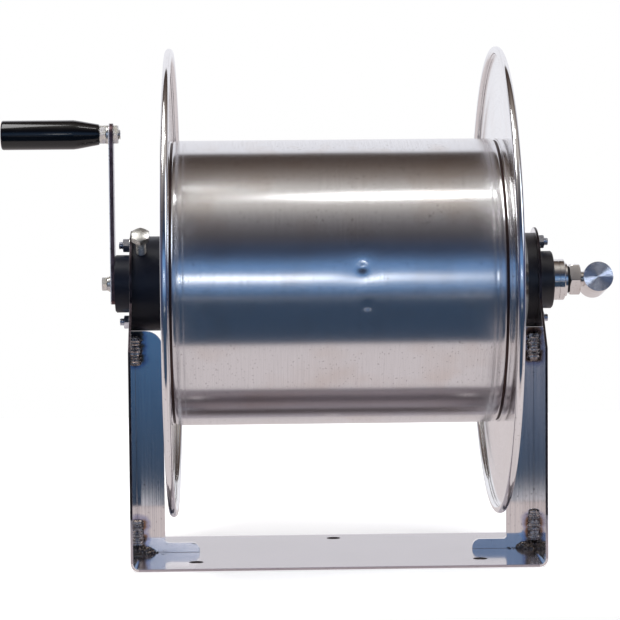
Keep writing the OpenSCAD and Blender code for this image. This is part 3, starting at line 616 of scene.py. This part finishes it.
u_frame = finish_piece("bent_frame", bent_frame(), "frame", "frame", ["u_frame"], flat=True)
paint(u_frame, "base", part_of_base)
paint(u_frame, "edge", lambda face: abs(face.normal.x) < 0.7 and face.center.z / MM > EDGE_FADE)

# %% [markdown]
# Each gusset is a flat L-shaped plate, with its outer corner cropped to clear the bend. It ends 0.3 mm under
# the housing, 2.2 mm above the plain solid's top, so that hardly any light comes through between them.

# %% Cut the gussets
WEB_IN, GUSSET_T, GUSSET_TOP = 201.5, 5, 225.7
LEG_W, FOOT_L, FOOT_H, CROP = 28, 63, 10, 5.5


def gusset_plate():
    outline = [(CROP, 0), (FOOT_L, 0), (FOOT_L, FOOT_H), (LEG_W, FOOT_H), (LEG_W, GUSSET_TOP), (0, GUSSET_TOP),
               (0, CROP), (CROP, CROP)]
    corners = [(WEB_IN - u, -GUSSET_T / 2, SHEET_T + v) for u, v in outline]
    foot_end, leg_top, inner_corner = ([2], 8, 10), ([4], 18, 16), ([3], 3.5, 5)
    return eased(cut_plate(corners, (foot_end, leg_top, inner_corner), (0, GUSSET_T, 0)), 0.3, angle=40)


for name, side in SIDES:
    finish_piece(f"{name}_gusset_plate", on_side(gusset_plate(), side), "frame", "frame", [f"{name}_gusset"],
                 flat=True)

# %% [markdown]
# A weld bead is metal laid down in overlapping drops. Each bead is spun from a long outline that swells with
# every drop, then the drops are pushed slightly off line, and two planes cut away what is inside the plates.
# A lumpy puddle fills the corner at the foot, and small balls of spatter sit beside the beads.

# %% Lay the weld beads
def bead(length, radius, drops, seed):
    outline = [(0, 0)]
    count = drops * 6
    for i in range(1, count):
        along = i / count
        swell = min(1, math.sqrt(max(0, 1 - (2 * along - 1) ** 6)) + 0.12)
        ripple = 1 + 0.16 * abs(math.sin(math.pi * drops * along))
        uneven = 0.86 + 0.2 * noise.noise((along * 5, seed, 0))
        outline.append((along * length, radius * swell * ripple * uneven))
    outline.append((length, 0))
    bm = turned(outline, steps=20, closed=False)
    for v in bm.verts:
        here = v.co.x / MM
        v.co.y += 0.45 * MM * noise.noise((here * 0.3, seed, 3))
        v.co.z += 0.45 * MM * noise.noise((here * 0.3, seed, 7))
    return bm


def weld_set(side, seed, foot_run):
    runs = []
    for front in (-1, 1):
        for z0, length, r in ((9, foot_run, 5.0), (193, 31, 5.4)):
            run = swung(bead(length, r, 9, seed + z0 + front), -90, "Y")
            bmesh.ops.scale(run, vec=(1.12, 0.9, 1), verts=run.verts)
            run = shifted(run, WEB_IN - 1.2, front * (GUSSET_T / 2 + 0.6), z0)
            cut_off(run, (WEB_IN + 0.6, 0, 0), (1, 0, 0))
            cut_off(run, (0, front * (GUSSET_T / 2 - 0.5), 0), (0, -front, 0))
            runs.append(run)
        puddle = bmesh.new()
        bmesh.ops.create_icosphere(puddle, subdivisions=5, radius=MM)
        for v in puddle.verts:
            turn = math.atan2(v.co.y, v.co.x)
            round_foot = (3.2 * math.cos(turn), 3.2 * math.sin(turn), seed + front)
            ridge = noise.noise(round_foot) + 0.35 * math.sin(11 * turn)
            lump = noise.noise(v.co / MM * 2.5 + Vector((seed, front, 0)))
            v.co *= 1 + 0.22 * ridge + 0.12 * lump
            v.co.x *= 15
            v.co.y *= 8.5
            v.co.z *= 7
        shifted(puddle, WEB_IN - 3, front * (GUSSET_T / 2 + 0.5), SHEET_T)
        cut_off(puddle, (0, 0, SHEET_T - 0.6), (0, 0, -1))
        cut_off(puddle, (0, front * (GUSSET_T / 2 - 0.5), 0), (0, -front, 0))
        cut_off(puddle, (WEB_IN + 0.6, 0, 0), (1, 0, 0))
        runs.append(puddle)
        for i in range(9):
            shake = [noise.noise((i * step, seed, k + front)) for step, k in ((3.1, 0), (2.3, 5), (1.7, 9))]
            size = 0.4 + 0.5 * abs(shake[0])
            ball = bmesh.new()
            bmesh.ops.create_icosphere(ball, subdivisions=1, radius=size * MM)
            runs.append(shifted(ball, WEB_IN - 18 - 20 * abs(shake[1]), front * (5 + 12 * abs(shake[2])),
                                SHEET_T + size * 0.4))
    return on_side(joined(*runs), side)


for name, side, seed, foot_run in (("left", -1, 11, 28), ("right", 1, 29, 34)):
    finish_piece(f"{name}_weld_beads", weld_set(side, seed, foot_run), "frame", "weld",
                 [f"{name}_gusset_welds"], sharp=80)

# %% [markdown]
# ## Bearings and their bolts
# The two black housings are round, with a nose that goes through the upright. The left one is thick, because
# the brake screw enters it, and its bolt heads are sunk. The CAD nodes have all these holes, so they are
# copied, merged and eased.

# %% Dress the housings
# The right housing takes the lighter finish with painted light.
for name, finish in (("left_housing", "housing"), ("right_housing", "worn_and_lit")):
    finish_piece(f"{name}_body", eased(from_cad(name), 0.9, angle=50), "frame", finish, [name], flat=True)

# %% [markdown]
# Two bolts hold each housing, above and below its nose. A bolt is a milled head, a plain shank and a real
# thread. One function makes it for both sides, and the left side is a mirror of the right one.

# %% Housing bolts, nuts and washers
def housing_bolt(head_start, head_end, thread_start, thread_end):
    head = hexagon(head_start, head_end, 13)
    shank = turned([(head_end - 0.2, 0), (head_end - 0.2, 3.9), (thread_start, 3.9), (thread_start, 0)], 32, False)
    return joined(head, shank, thread(thread_start - 0.1, thread_end, *M8))


def at_both_bolts(make):
    return joined(*[shifted(make(), z=AXIS_HEIGHT + rise) for rise in (-BOLT_RISE, BOLT_RISE)])


for name, side, head_end in (("left", -1, 179.9), ("right", 1, 191.5)):
    bolts = at_both_bolts(lambda: housing_bolt(head_end - 5.3, head_end, 203, 216.1))
    finish_piece(f"{name}_housing_bolt_set", on_side(bolts, side), "frame", "hardware", [f"{name}_housing_bolts"])
    nuts = at_both_bolts(lambda: hexagon(205.6, 212.1, 13, 4.05))
    finish_piece(f"{name}_housing_nut_set", on_side(nuts, side), "frame", "hardware", [f"{name}_housing_nuts"])
washers = joined(*[on_side(at_both_bolts(lambda: washer(204, 205.6, 16, 8.4)), side) for side in (-1, 1)])
finish_piece("housing_washer_set", washers, "frame", "zinc", ["housing_washers"])

# %% [markdown]
# The brake screw stands out of the left housing at 45 degrees, towards the front and up. It is made upright
# along X like everything else, then swung onto its line.

# %% The brake screw
def brake_screw_shape():
    head = hexagon(66.5, 72.9, 17)
    bm = joined(head, thread(25.35, 66.6, *M10, lead_in=0))
    return shifted(swung(swung(bm, -90, "Y"), 45, "X"), -192.5, 0, AXIS_HEIGHT)


finish_piece("brake_screw_m10", brake_screw_shape(), "brake_screw", "screw", ["brake_screw"])

# %% [markdown]
# ## Drum and discs
# The drum shell is a rolled and welded tube that was knocked a few times. Each knock left a narrow pit in a
# wide shallow basin. So the tube has many rows of faces, and each point moves towards the axis by an amount
# that depends on its distance from the dents. A row gives a point near a dent, then the radius and depth of
# its pit and of its basin.

# %% Roll the drum shell and dent it
DRUM_R, SHELL_T, SHELL_END, SMOOTH_END, DENT_REACH = 143, 2, 159.8, 148, 17
DENTS = [(22, -150, 22.6, 4.8, 0.9, 17, 0.4), (26.6, -150, -17, 4.4, 0.6, 15, 0.22),
         (19, -140, -96, 5.0, 0.22, 14, 0.08), (-146, -142, 66, 6.0, 0.12, 20, 0.05)]


def dent_middle(x, y, z):
    flat = Vector((y, z)).normalized() * DRUM_R
    return Vector((x, flat.x, flat.y)) * MM


def drum_shape():
    right_end = [(149, 0), (150, -0.1), (151, 0), (153, 0), (155, -0.03), (156.5, -0.12), (157.7, -0.28),
                 (158.7, -0.52), (159.4, -0.9), (159.8, -1.5)]
    rows = [(-x, DRUM_R + drop) for x, drop in reversed(right_end)]
    rows += [(-147 + 3.0 * i, DRUM_R) for i in range(99)]
    rows += [(x, DRUM_R + drop) for x, drop in right_end]
    rows += [(SHELL_END, DRUM_R - SHELL_T), (-SHELL_END, DRUM_R - SHELL_T)]
    bm = turned(rows, steps=288)
    for x, y, z, *_ in DENTS[:2]:
        middle = dent_middle(x, y, z)
        near = {e for f in bm.faces if (f.calc_center_median() - middle).length < DENT_REACH * MM
                for e in f.edges}
        made = bmesh.ops.subdivide_edges(bm, edges=list(near), cuts=3, use_grid_fill=True)
        for v in points_of(made["geom_inner"]):
            v.co.yz = v.co.yz.normalized() * DRUM_R * MM
    for v in bm.verts:
        r = math.hypot(v.co.y, v.co.z)
        if r < (DRUM_R - 0.5) * MM or abs(v.co.x) > SMOOTH_END * MM:
            continue
        inward = 0
        for x, y, z, core_r, core_depth, basin_r, basin_depth in DENTS:
            gap = (v.co - dent_middle(x, y, z)).length / MM
            inward += core_depth * math.exp(-(gap / core_r) ** 2) + basin_depth * math.exp(-(gap / basin_r) ** 2)
        v.co.y *= 1 - inward * MM / r
        v.co.z *= 1 - inward * MM / r
    return on_axis(bm)


finish_piece("dented_drum_shell", drum_shape(), "drum", "drum", ["drum_shell"])

# %% [markdown]
# The discs are spun from thin sheet, and their rim is rolled inwards into a bead. The outline follows the
# sheet up the outside, round the bead, and back down the inside, with a fine seam where the curl closes. A
# head plate closes each end of the shell, with a spigot inside it and a narrow rounded rim outside.

# %% Spin the discs and the drum heads
BEAD_R = 3.75


def disc_shape(bore_r):
    outline = [(165.5, bore_r), (167, bore_r)] + [(167, r) for r in (30, 60, 100, 150, 200, 225)]
    for i in range(25):
        turn = math.radians(90 - 12.5 * i)
        outline.append((163.25 + BEAD_R * math.sin(turn), 231.25 + BEAD_R * math.cos(turn)))
    outline += [(165.1, 228.3), (165.5, 227.4), (165.5, 200), (165.5, 100)]
    return on_axis(turned(outline, steps=288))


def head_shape(bore_r):
    outline = [(162, bore_r), (162, 137.8), (150, 137.8), (150, 140.8), (162, 140.8), (162, 141.8),
               (162.3, 142.5), (163, 142.9), (163.8, DRUM_R), (165.5, DRUM_R), (165.5, bore_r)]
    return on_axis(turned(outline, steps=192))


for name, side, bore_r in (("left", -1, 15.2), ("right", 1, 17.2)):
    finish_piece(f"{name}_spun_disc", on_side(disc_shape(bore_r), side), "drum", "disc", [f"{name}_disc"])
    finish_piece(f"{name}_head_plate", on_side(head_shape(bore_r), side), "drum", "drum", [f"{name}_drum_head"])

# %% [markdown]
# Six button-head screws hold each disc, its head plate and the shaft flange together. The socket starts from
# the small round face on top: it is inset, its points are moved onto a hexagon, and it is pushed down.

# %% Button-head screws
SOCKET_HALF, SOCKET_DEPTH, SCREW_CIRCLE_R = 2.5, 2.6, 62


def button_screw():
    dome = [(167, 0), (167, 7), (168.2, 7)]
    dome += [(168.2 + 3.2 * math.sin(0.25 * i), 3 + 4 * math.cos(0.25 * i)) for i in range(1, 7)] + [(171.4, 3)]
    bm = turned(dome, steps=48, closed=False)
    rim = [e for e in bm.edges if e.is_boundary]
    top = bmesh.ops.contextual_create(bm, geom=rim)["faces"]
    bmesh.ops.inset_region(bm, faces=top, thickness=0.1 * MM)
    for v in top[0].verts:
        turn = math.atan2(v.co.y, v.co.z)
        wedge = (turn + math.pi / 6) % (math.pi / 3) - math.pi / 6
        scale = SOCKET_HALF * MM / math.cos(wedge) / math.hypot(v.co.y, v.co.z)
        v.co.y *= scale
        v.co.z *= scale
    floor = bmesh.ops.extrude_face_region(bm, geom=top)["geom"]
    bmesh.ops.translate(bm, vec=(-SOCKET_DEPTH * MM, 0, 0), verts=points_of(floor))
    bmesh.ops.delete(bm, geom=top, context="FACES")
    return joined(bm, thread(148.5, 167.1, *M8))


for name, side in SIDES:
    screws = repeated(shifted(button_screw(), z=SCREW_CIRCLE_R), 6, 60)
    finish_piece(f"{name}_button_screws", on_axis(screws, side), "drum", "zinc", [f"{name}_disc_screws"])

# %% [markdown]
# ## Crank and grip
# The crank is a flat bar with a round top and small round corners below. The vertex bevel rounds them, so the
# bar keeps its width everywhere. The shear that cut it left half of its edge bright and tore the other half,
# which is darker, so a cut parts the two.

# %% The crank arm and its bolt
ARM_IN, ARM_T, ARM_HALF, ARM_TAIL, CRANK_R, TORN_FROM = 220.3, 4.5, 11, 20.5, 150, 224


def crank_arm_shape():
    low, high = AXIS_HEIGHT - ARM_TAIL, AXIS_HEIGHT + CRANK_R + ARM_HALF
    corners = [(ARM_IN, -ARM_HALF, low), (ARM_IN, ARM_HALF, low), (ARM_IN, ARM_HALF, high),
               (ARM_IN, -ARM_HALF, high)]
    small_below, round_top = ([0, 1], 5.5, 8), ([2, 3], ARM_HALF - 0.01, 16)
    bm = cut_plate(corners, (small_below, round_top), (ARM_T, 0, 0))
    eased(bm, 0.7, angle=50, segments=3)
    cut_with(bm, (TORN_FROM, 0, 0), (1, 0, 0), clear=False)
    return bm


crank_bar = finish_piece("crank_flat_bar", on_side(crank_arm_shape(), -1), "drum", "crank", ["crank_arm"],
                         flat=True)
paint(crank_bar, "torn", lambda face: face.center.x > -TORN_FROM * MM and abs(face.normal.x) < 0.9)
crank_bolt = joined(hexagon(228.4, 233.7, 13), thread(202.3, 228.5, *M8))
for name, shape, node in (("crank_flat_washer", washer(224.8, 226.4, 16, 8.1), "crank_washer"),
                          ("crank_spring_washer", spring_washer(226.4, 228.4, 14.4, 8.1), "crank_lock_washer"),
                          ("crank_bolt_m8", crank_bolt, "crank_bolt")):
    finish_piece(name, on_axis(shape, -1), "drum", "zinc", [node])

# %% [markdown]
# The grip turns on a spindle with a hexagonal collar. It narrows towards the crank, and its far end is closed
# by a cap pressed into it. Its outline has a rounded end, a fine groove round the cap and a soft shoulder.

# %% The spindle, its nut and washer, and the grip
GRIP_Z = AXIS_HEIGHT + CRANK_R
GRIP_IN, GRIP_OUT, TAPER_L, GRIP_R, ROD_R = 234.1, 332.1, 26, 14.75, 5


def on_grip(bm):
    return on_side(shifted(bm, z=GRIP_Z), -1)


spindle = joined(hexagon(227.3, 233.8, 18),
                 turned([(224, 0), (224, ROD_R), (324.2, ROD_R), (324.2, 0)], 48, False),
                 turned([(324.1, 0), (324.1, 8), (328.1, 8), (328.1, 0)], 48, False),
                 thread(213.3, 224.2, *M10, lead_in=0))
for name, shape, node in (("grip_spindle_m10", spindle, "grip_spindle"),
                          ("spindle_spring_washer", spring_washer(224.8, 227.3, 19, 10.1), "spindle_lock_washer"),
                          ("spindle_nut_m10", hexagon(215.3, 220.3, 18, 5.05), "spindle_nut")):
    finish_piece(name, on_grip(shape), "drum", "zinc", [node])


def grip_shape():
    outline = [(GRIP_IN, 5.05), (GRIP_IN, 9.4), (GRIP_IN + 0.25, 10), (GRIP_IN + 1, 10.4)]
    for t in (0.15, 0.3, 0.5, 0.7, 0.85, 1):
        swell = t * t * (3 - 2 * t) * 0.35 + t * 0.65
        outline.append((GRIP_IN + TAPER_L * t, 10.45 + 4.3 * swell))
    outline += [(GRIP_OUT - 40, GRIP_R)]
    outline += [(GRIP_OUT - 2 + 2 * math.sin(a), GRIP_R - 2 + 2 * math.cos(a)) for a in (0, 0.4, 0.8, 1.2, 1.57)]
    outline += [(GRIP_OUT, 10.4), (GRIP_OUT - 0.4, 10), (GRIP_OUT - 3, 10), (GRIP_OUT - 3, 8.3), (323.8, 8.3),
                (323.8, 5.05)]
    return turned(outline, steps=96)


cap = [(GRIP_OUT - 3, 0), (GRIP_OUT - 3, 10), (GRIP_OUT - 0.5, 10), (GRIP_OUT, 9.5), (GRIP_OUT, 3),
       (GRIP_OUT - 0.3, 0)]
finish_piece("revolving_grip", on_grip(grip_shape()), "grip", "grip", ["grip"])
finish_piece("grip_end_cap", on_grip(turned(cap, 64, False)), "grip", "grip", ["grip_cap"])

# %% [markdown]
# ## Swivel and outlet
# On the right the hollow shaft carries a polished collar, then the hexagon of the swivel stem, and the elbow
# that turns on it. The elbow's flat face alone gets the finish with turning marks.

# %% Collar, stem, seal and elbow
collar_outline = [(220.3, 17.05), (220.3, 20), (221.1, 20.75), (225.6, 20.75), (225.9, 20.45), (226.7, 20.45),
                  (227, 20.75), (231.5, 20.75), (232.3, 20), (232.3, 17.05)]
finish_piece("polished_collar", on_axis(turned(collar_outline)), "drum", "shaft", ["shaft_collar"])
finish_piece("seal_washer", on_axis(washer(234.8, 237.3, 27, 21)), "drum", "rubber", ["stem_seal_washer"])
stem = eased(from_cad("swivel_stem"), 0.25, angle=50)
finish_piece("swivel_stem_hexagon", stem, "drum", "shaft", ["swivel_stem"])
elbow = eased(from_cad("swivel_elbow"), 0.8, angle=50, segments=3)
turned_elbow = finish_piece("turned_elbow", elbow, "swivel", "shaft", ["swivel_elbow"], flat=True)
paint(turned_elbow, "faced", lambda face: face.normal.dot(Vector(ELBOW_OUT)) > 0.98)

# %% [markdown]
# The water leaves at the back of the drum through a threaded pipe, which two nuts hold to the shell. Both are
# made along X as well and then swung to point backwards.

# %% The outlet pipe and its nuts
PIPE_BORE_R, PIPE_THREAD = 6.5, (20.8, 1.814)


def along_y(bm):
    return shifted(swung(bm, 90, "Z"), 128.5, 0, AXIS_HEIGHT)


pipe_outline = [(18.3, PIPE_BORE_R), (18.3, 10.4), (33, 10.4), (33, 12), (151.5, 12), (152, 11.5),
                (152, PIPE_BORE_R)]
pipe = joined(turned(pipe_outline, 64), thread(151.6, 169, *PIPE_THREAD, 48, 1.2, bore_r=PIPE_BORE_R))
finish_piece("outlet_pipe_body", along_y(pipe), "drum", "shaft", ["outlet_pipe"])
outlet_nuts = joined(hexagon(142, 152, 36, 12.1), hexagon(132, 141, 36, 12.1))
finish_piece("outlet_nut_pair", along_y(outlet_nuts), "drum", "zinc", ["outlet_nuts"])

# %% [markdown]
# ## Nodes that stay as they are
# Bushes, shafts, nuts inside the drum, seals and the brake shoe are mostly hidden, and their CAD shapes are
# right. They keep their meshes and only get a finish.

# %% Finish the CAD nodes that stay
KEPT = {"bronze": ("left_outer_bush", "left_inner_bush", "right_bush"), "nylon": ("brake_shoe",),
        "shaft": ("crank_axle", "hollow_shaft", "inner_elbow"), "rubber": ("swivel_seal_rings",),
        "zinc": ("left_disc_nuts", "right_disc_nuts", "collar_set_screw", "swivel_lock_ring")}
for finish, names in KEPT.items():
    for name in names:
        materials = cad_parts[name].data.materials
        materials.clear()
        materials.append(FINISHES[finish])
    print(finish, "on", *names)

# %% [markdown]
# ## Studio
# Polished metal is a mirror, so its look is the look of the room. The room is painted on the world as bands
# that circle the reel's axis: floor and table below, a window in front, a ceiling above, a pale wall behind.
# Eleven tones are enough. Where one fades into another, each step is the last one times the same amount, which
# looks even. To the sides the bands turn into plain grey. The camera itself sees plain white.

# %% The room that the metal mirrors
WALL, FLOOR, SHADE, BEAM = (225, 225, 230), (190, 180, 180), (130, 120, 120), (65, 55, 50)
DUSK, BLUE, SKY, HAZE = (50, 65, 85), (70, 110, 155), (130, 155, 190), (100, 135, 180)
NIGHT, ASH, CEILING = (50, 60, 80), (70, 68, 72), (180, 175, 170)


def faded(start, first, end, second, steps):
    shares = [i / steps for i in range(steps + 1)]
    return [(start + (end - start) * s, [a * (b / a) ** s for a, b in zip(first, second)]) for s in shares]


ROOM = [(-180, WALL), (-135, FLOOR), *faded(-118, SHADE, -90, FLOOR, 2), (-48, FLOOR), (-47, DUSK), (-8, DUSK),
        (-3, BLUE), (2, SKY), (8, SKY), (11, HAZE), *faded(16, HAZE, 27, NIGHT, 3),
        (30, NIGHT), *faded(40, ASH, 67, CEILING, 3), *faded(83, CEILING, 121, BEAM, 3), (130, BEAM),
        (131, WALL), (180, WALL)]
SIDE_TONES = [(0.3, FLOOR), (0.36, NIGHT), (0.55, (65, 70, 100)), (0.7, (85, 80, 80)), (0.85, (150, 140, 140))]

world = bpy.data.worlds.new("studio")
SCENE.world = world
world.use_nodes = True
tree = world.node_tree
tree.nodes.clear()
way = add(tree, "TexCoord").outputs["Generated"]
way_x, way_y, way_z = split(tree, way)
round_axis = maths(tree, "ARCTAN2", way_z, maths(tree, "MULTIPLY", way_y, -1.0))
share = maths(tree, "ADD", maths(tree, "DIVIDE", round_axis, 2 * math.pi), 0.5)
bands = ramp(tree, share, [((angle + 180) / 360, tone) for angle, tone in ROOM])
aside = maths(tree, "ABSOLUTE", way_x)
sides = ramp(tree, maths(tree, "ADD", maths(tree, "MULTIPLY", way_z, 0.5), 0.5), SIDE_TONES)
room = mixed(tree, ranged(tree, aside, 0.5, 0.9), bands, sides)

# %% [markdown]
# Four soft patches lie over the bands: the bright gap of a far window, light along the table's edge beside
# it, a paler wall on both sides just below eye level, and a window to the right. A patch is the product of a
# soft band across and one round the axis, so it has soft edges all round.

# %% Windows and pale patches
def between(value, low, high, soft):
    rising = ranged(tree, value, low - soft, low + soft)
    return maths(tree, "MULTIPLY", rising, ranged(tree, value, high + soft, high - soft))


def below_level(start, end, soft):
    return between(round_axis, *(math.radians(angle) for angle in (start, end, soft)))


off_middle = maths(tree, "ABSOLUTE", maths(tree, "SUBTRACT", way_x, 0.035))
to_right = vectors(tree, "DISTANCE", way, (0.81, -0.35, 0.47), result="Value")
far_window = maths(tree, "MULTIPLY", between(way_x, -0.045, 0.028, 0.015), between(round_axis, 0.078, 0.14, 0.02))
table_edge = maths(tree, "MULTIPLY", between(off_middle, 0.068, 0.3, 0.006), below_level(-9.7, -8.4, 0.25))
pale_sides = maths(tree, "MULTIPLY", between(aside, 0.108, 0.3, 0.008), below_level(-6.4, -2.5, 1.4))
right_window = ranged(tree, to_right, 0.34, 0.14)
for patch, tone in ((far_window, (5.0, 5.1, 5.2, 1)), (table_edge, (216, 216, 222)),
                    (pale_sides, (124, 128, 142)), (right_window, (2.0, 2.2, 2.5, 1))):
    room = mixed(tree, patch, room, tone)
lit = add(tree, "Background", {"Color": room, "Strength": 1.13}).outputs[0]
white = add(tree, "Background", {"Color": (1, 1, 1, 1), "Strength": 1.0}).outputs[0]
from_camera = add(tree, "LightPath").outputs["Is Camera Ray"]
seen = add(tree, "MixShader", {0: from_camera, 1: lit, 2: white}).outputs[0]
add(tree, "OutputWorld", {"Surface": seen})

# %% [markdown]
# Four lamps help the room. A small strip above draws the bright line along the drum, and a pale ceiling
# above the left side shows in the left disc: both are mirrored. Two large soft panels light the black and
# matt pieces, and are kept out of reflections so that they don't appear in the steel.

# %% Lamps
def panel(name, place, target, size, power, mirrored):
    lamp = bpy.data.lights.new(name, "AREA")
    lamp.shape, lamp.energy = "RECTANGLE", power
    lamp.size, lamp.size_y = size
    lamp_object = linked(name, lamp)
    lamp_object.location = place
    lamp_object.rotation_euler = (Vector(target) - Vector(place)).to_track_quat("-Z", "Y").to_euler()
    lamp_object.visible_glossy = mirrored


panel("strip_lamp", (0.17, -0.5, 1.86), (0.05, -0.05, 0.4), (0.26, 0.1), 0.75, True)
panel("left_ceiling", (-0.71, -0.28, 1.53), (-0.42, 0, 0.43), (0.58, 0.8), 7.4, True)
panel("front_panel", (-1.6, -2.4, 2.2), (0, 0, 0.2), (1.6, 1.6), 34, False)
panel("top_panel", (0.6, 0.4, 2.6), (0, 0, 0.2), (2.0, 2.0), 26, False)

# %% [markdown]
# The floor is a plain pale sheet. For the camera it glows a little, so that it is as white as the background
# where nothing shades it, and the reel's shadow still shows. In the metal it looks like a pale table top.

# %% The floor
floor_mesh = bpy.data.meshes.new("floor")
bm = bmesh.new()
bmesh.ops.create_grid(bm, x_segments=1, y_segments=1, size=1.0,
                      matrix=Matrix.Translation((0, 0.45, -0.0004)) @ Matrix.Diagonal((1.5, 0.79, 1, 1)))
bm.to_mesh(floor_mesh)
bm.free()
floor = linked("floor", floor_mesh)
paper = bpy.data.materials.new("pale_floor")
paper.use_nodes = True
paper.cycles.emission_sampling = "NONE"
tree = paper.node_tree
tree.nodes.clear()
rays = add(tree, "LightPath").outputs
matt = add(tree, "BsdfDiffuse", {"Color": (0.86, 0.86, 0.86, 1)}).outputs[0]
glow_power = maths(tree, "MULTIPLY", rays["Is Camera Ray"], 0.5)
glow = add(tree, "Emission", {"Color": (1, 1, 1, 1), "Strength": glow_power}).outputs[0]
mirrored = add(tree, "Emission", {"Color": (190, 182, 183), "Strength": 1.24}).outputs[0]
bright = add(tree, "AddShader", {0: matt, 1: glow}).outputs[0]
both = add(tree, "MixShader", {0: rays["Is Glossy Ray"], 1: bright, 2: mirrored}).outputs[0]
add(tree, "OutputMaterial", {"Surface": both})
floor_mesh.materials.append(paper)

# %% [markdown]
# ## Camera
# The camera stands 2.4 m in front of the reel, a little left of its middle and above its axis, and looks
# slightly down. A camera looks down its own Z axis, so it is rolled, tipped up by almost a right angle,
# turned, and then carried to its place. The lens is long, so there is little perspective.

# %% The camera
CAMERA_PLACE = (-0.0873, -2.3954, 0.4122)
yaw, pitch, roll = (math.radians(a) for a in (1.5, 3.93, 0.495))
lens = bpy.data.cameras.new("studio_camera")
lens.lens = 138.07
lens.sensor_width = 36
lens.clip_start = 0.05
camera = linked("studio_camera", lens)
turns = [Matrix.Rotation(a, 4, axis) for a, axis in ((-yaw, "Z"), (math.pi / 2 - pitch, "X"), (-roll, "Z"))]
camera.matrix_world = Matrix.Translation(CAMERA_PLACE) @ turns[0] @ turns[1] @ turns[2]
SCENE.camera = camera
SCENE.view_settings.view_transform = "Standard"
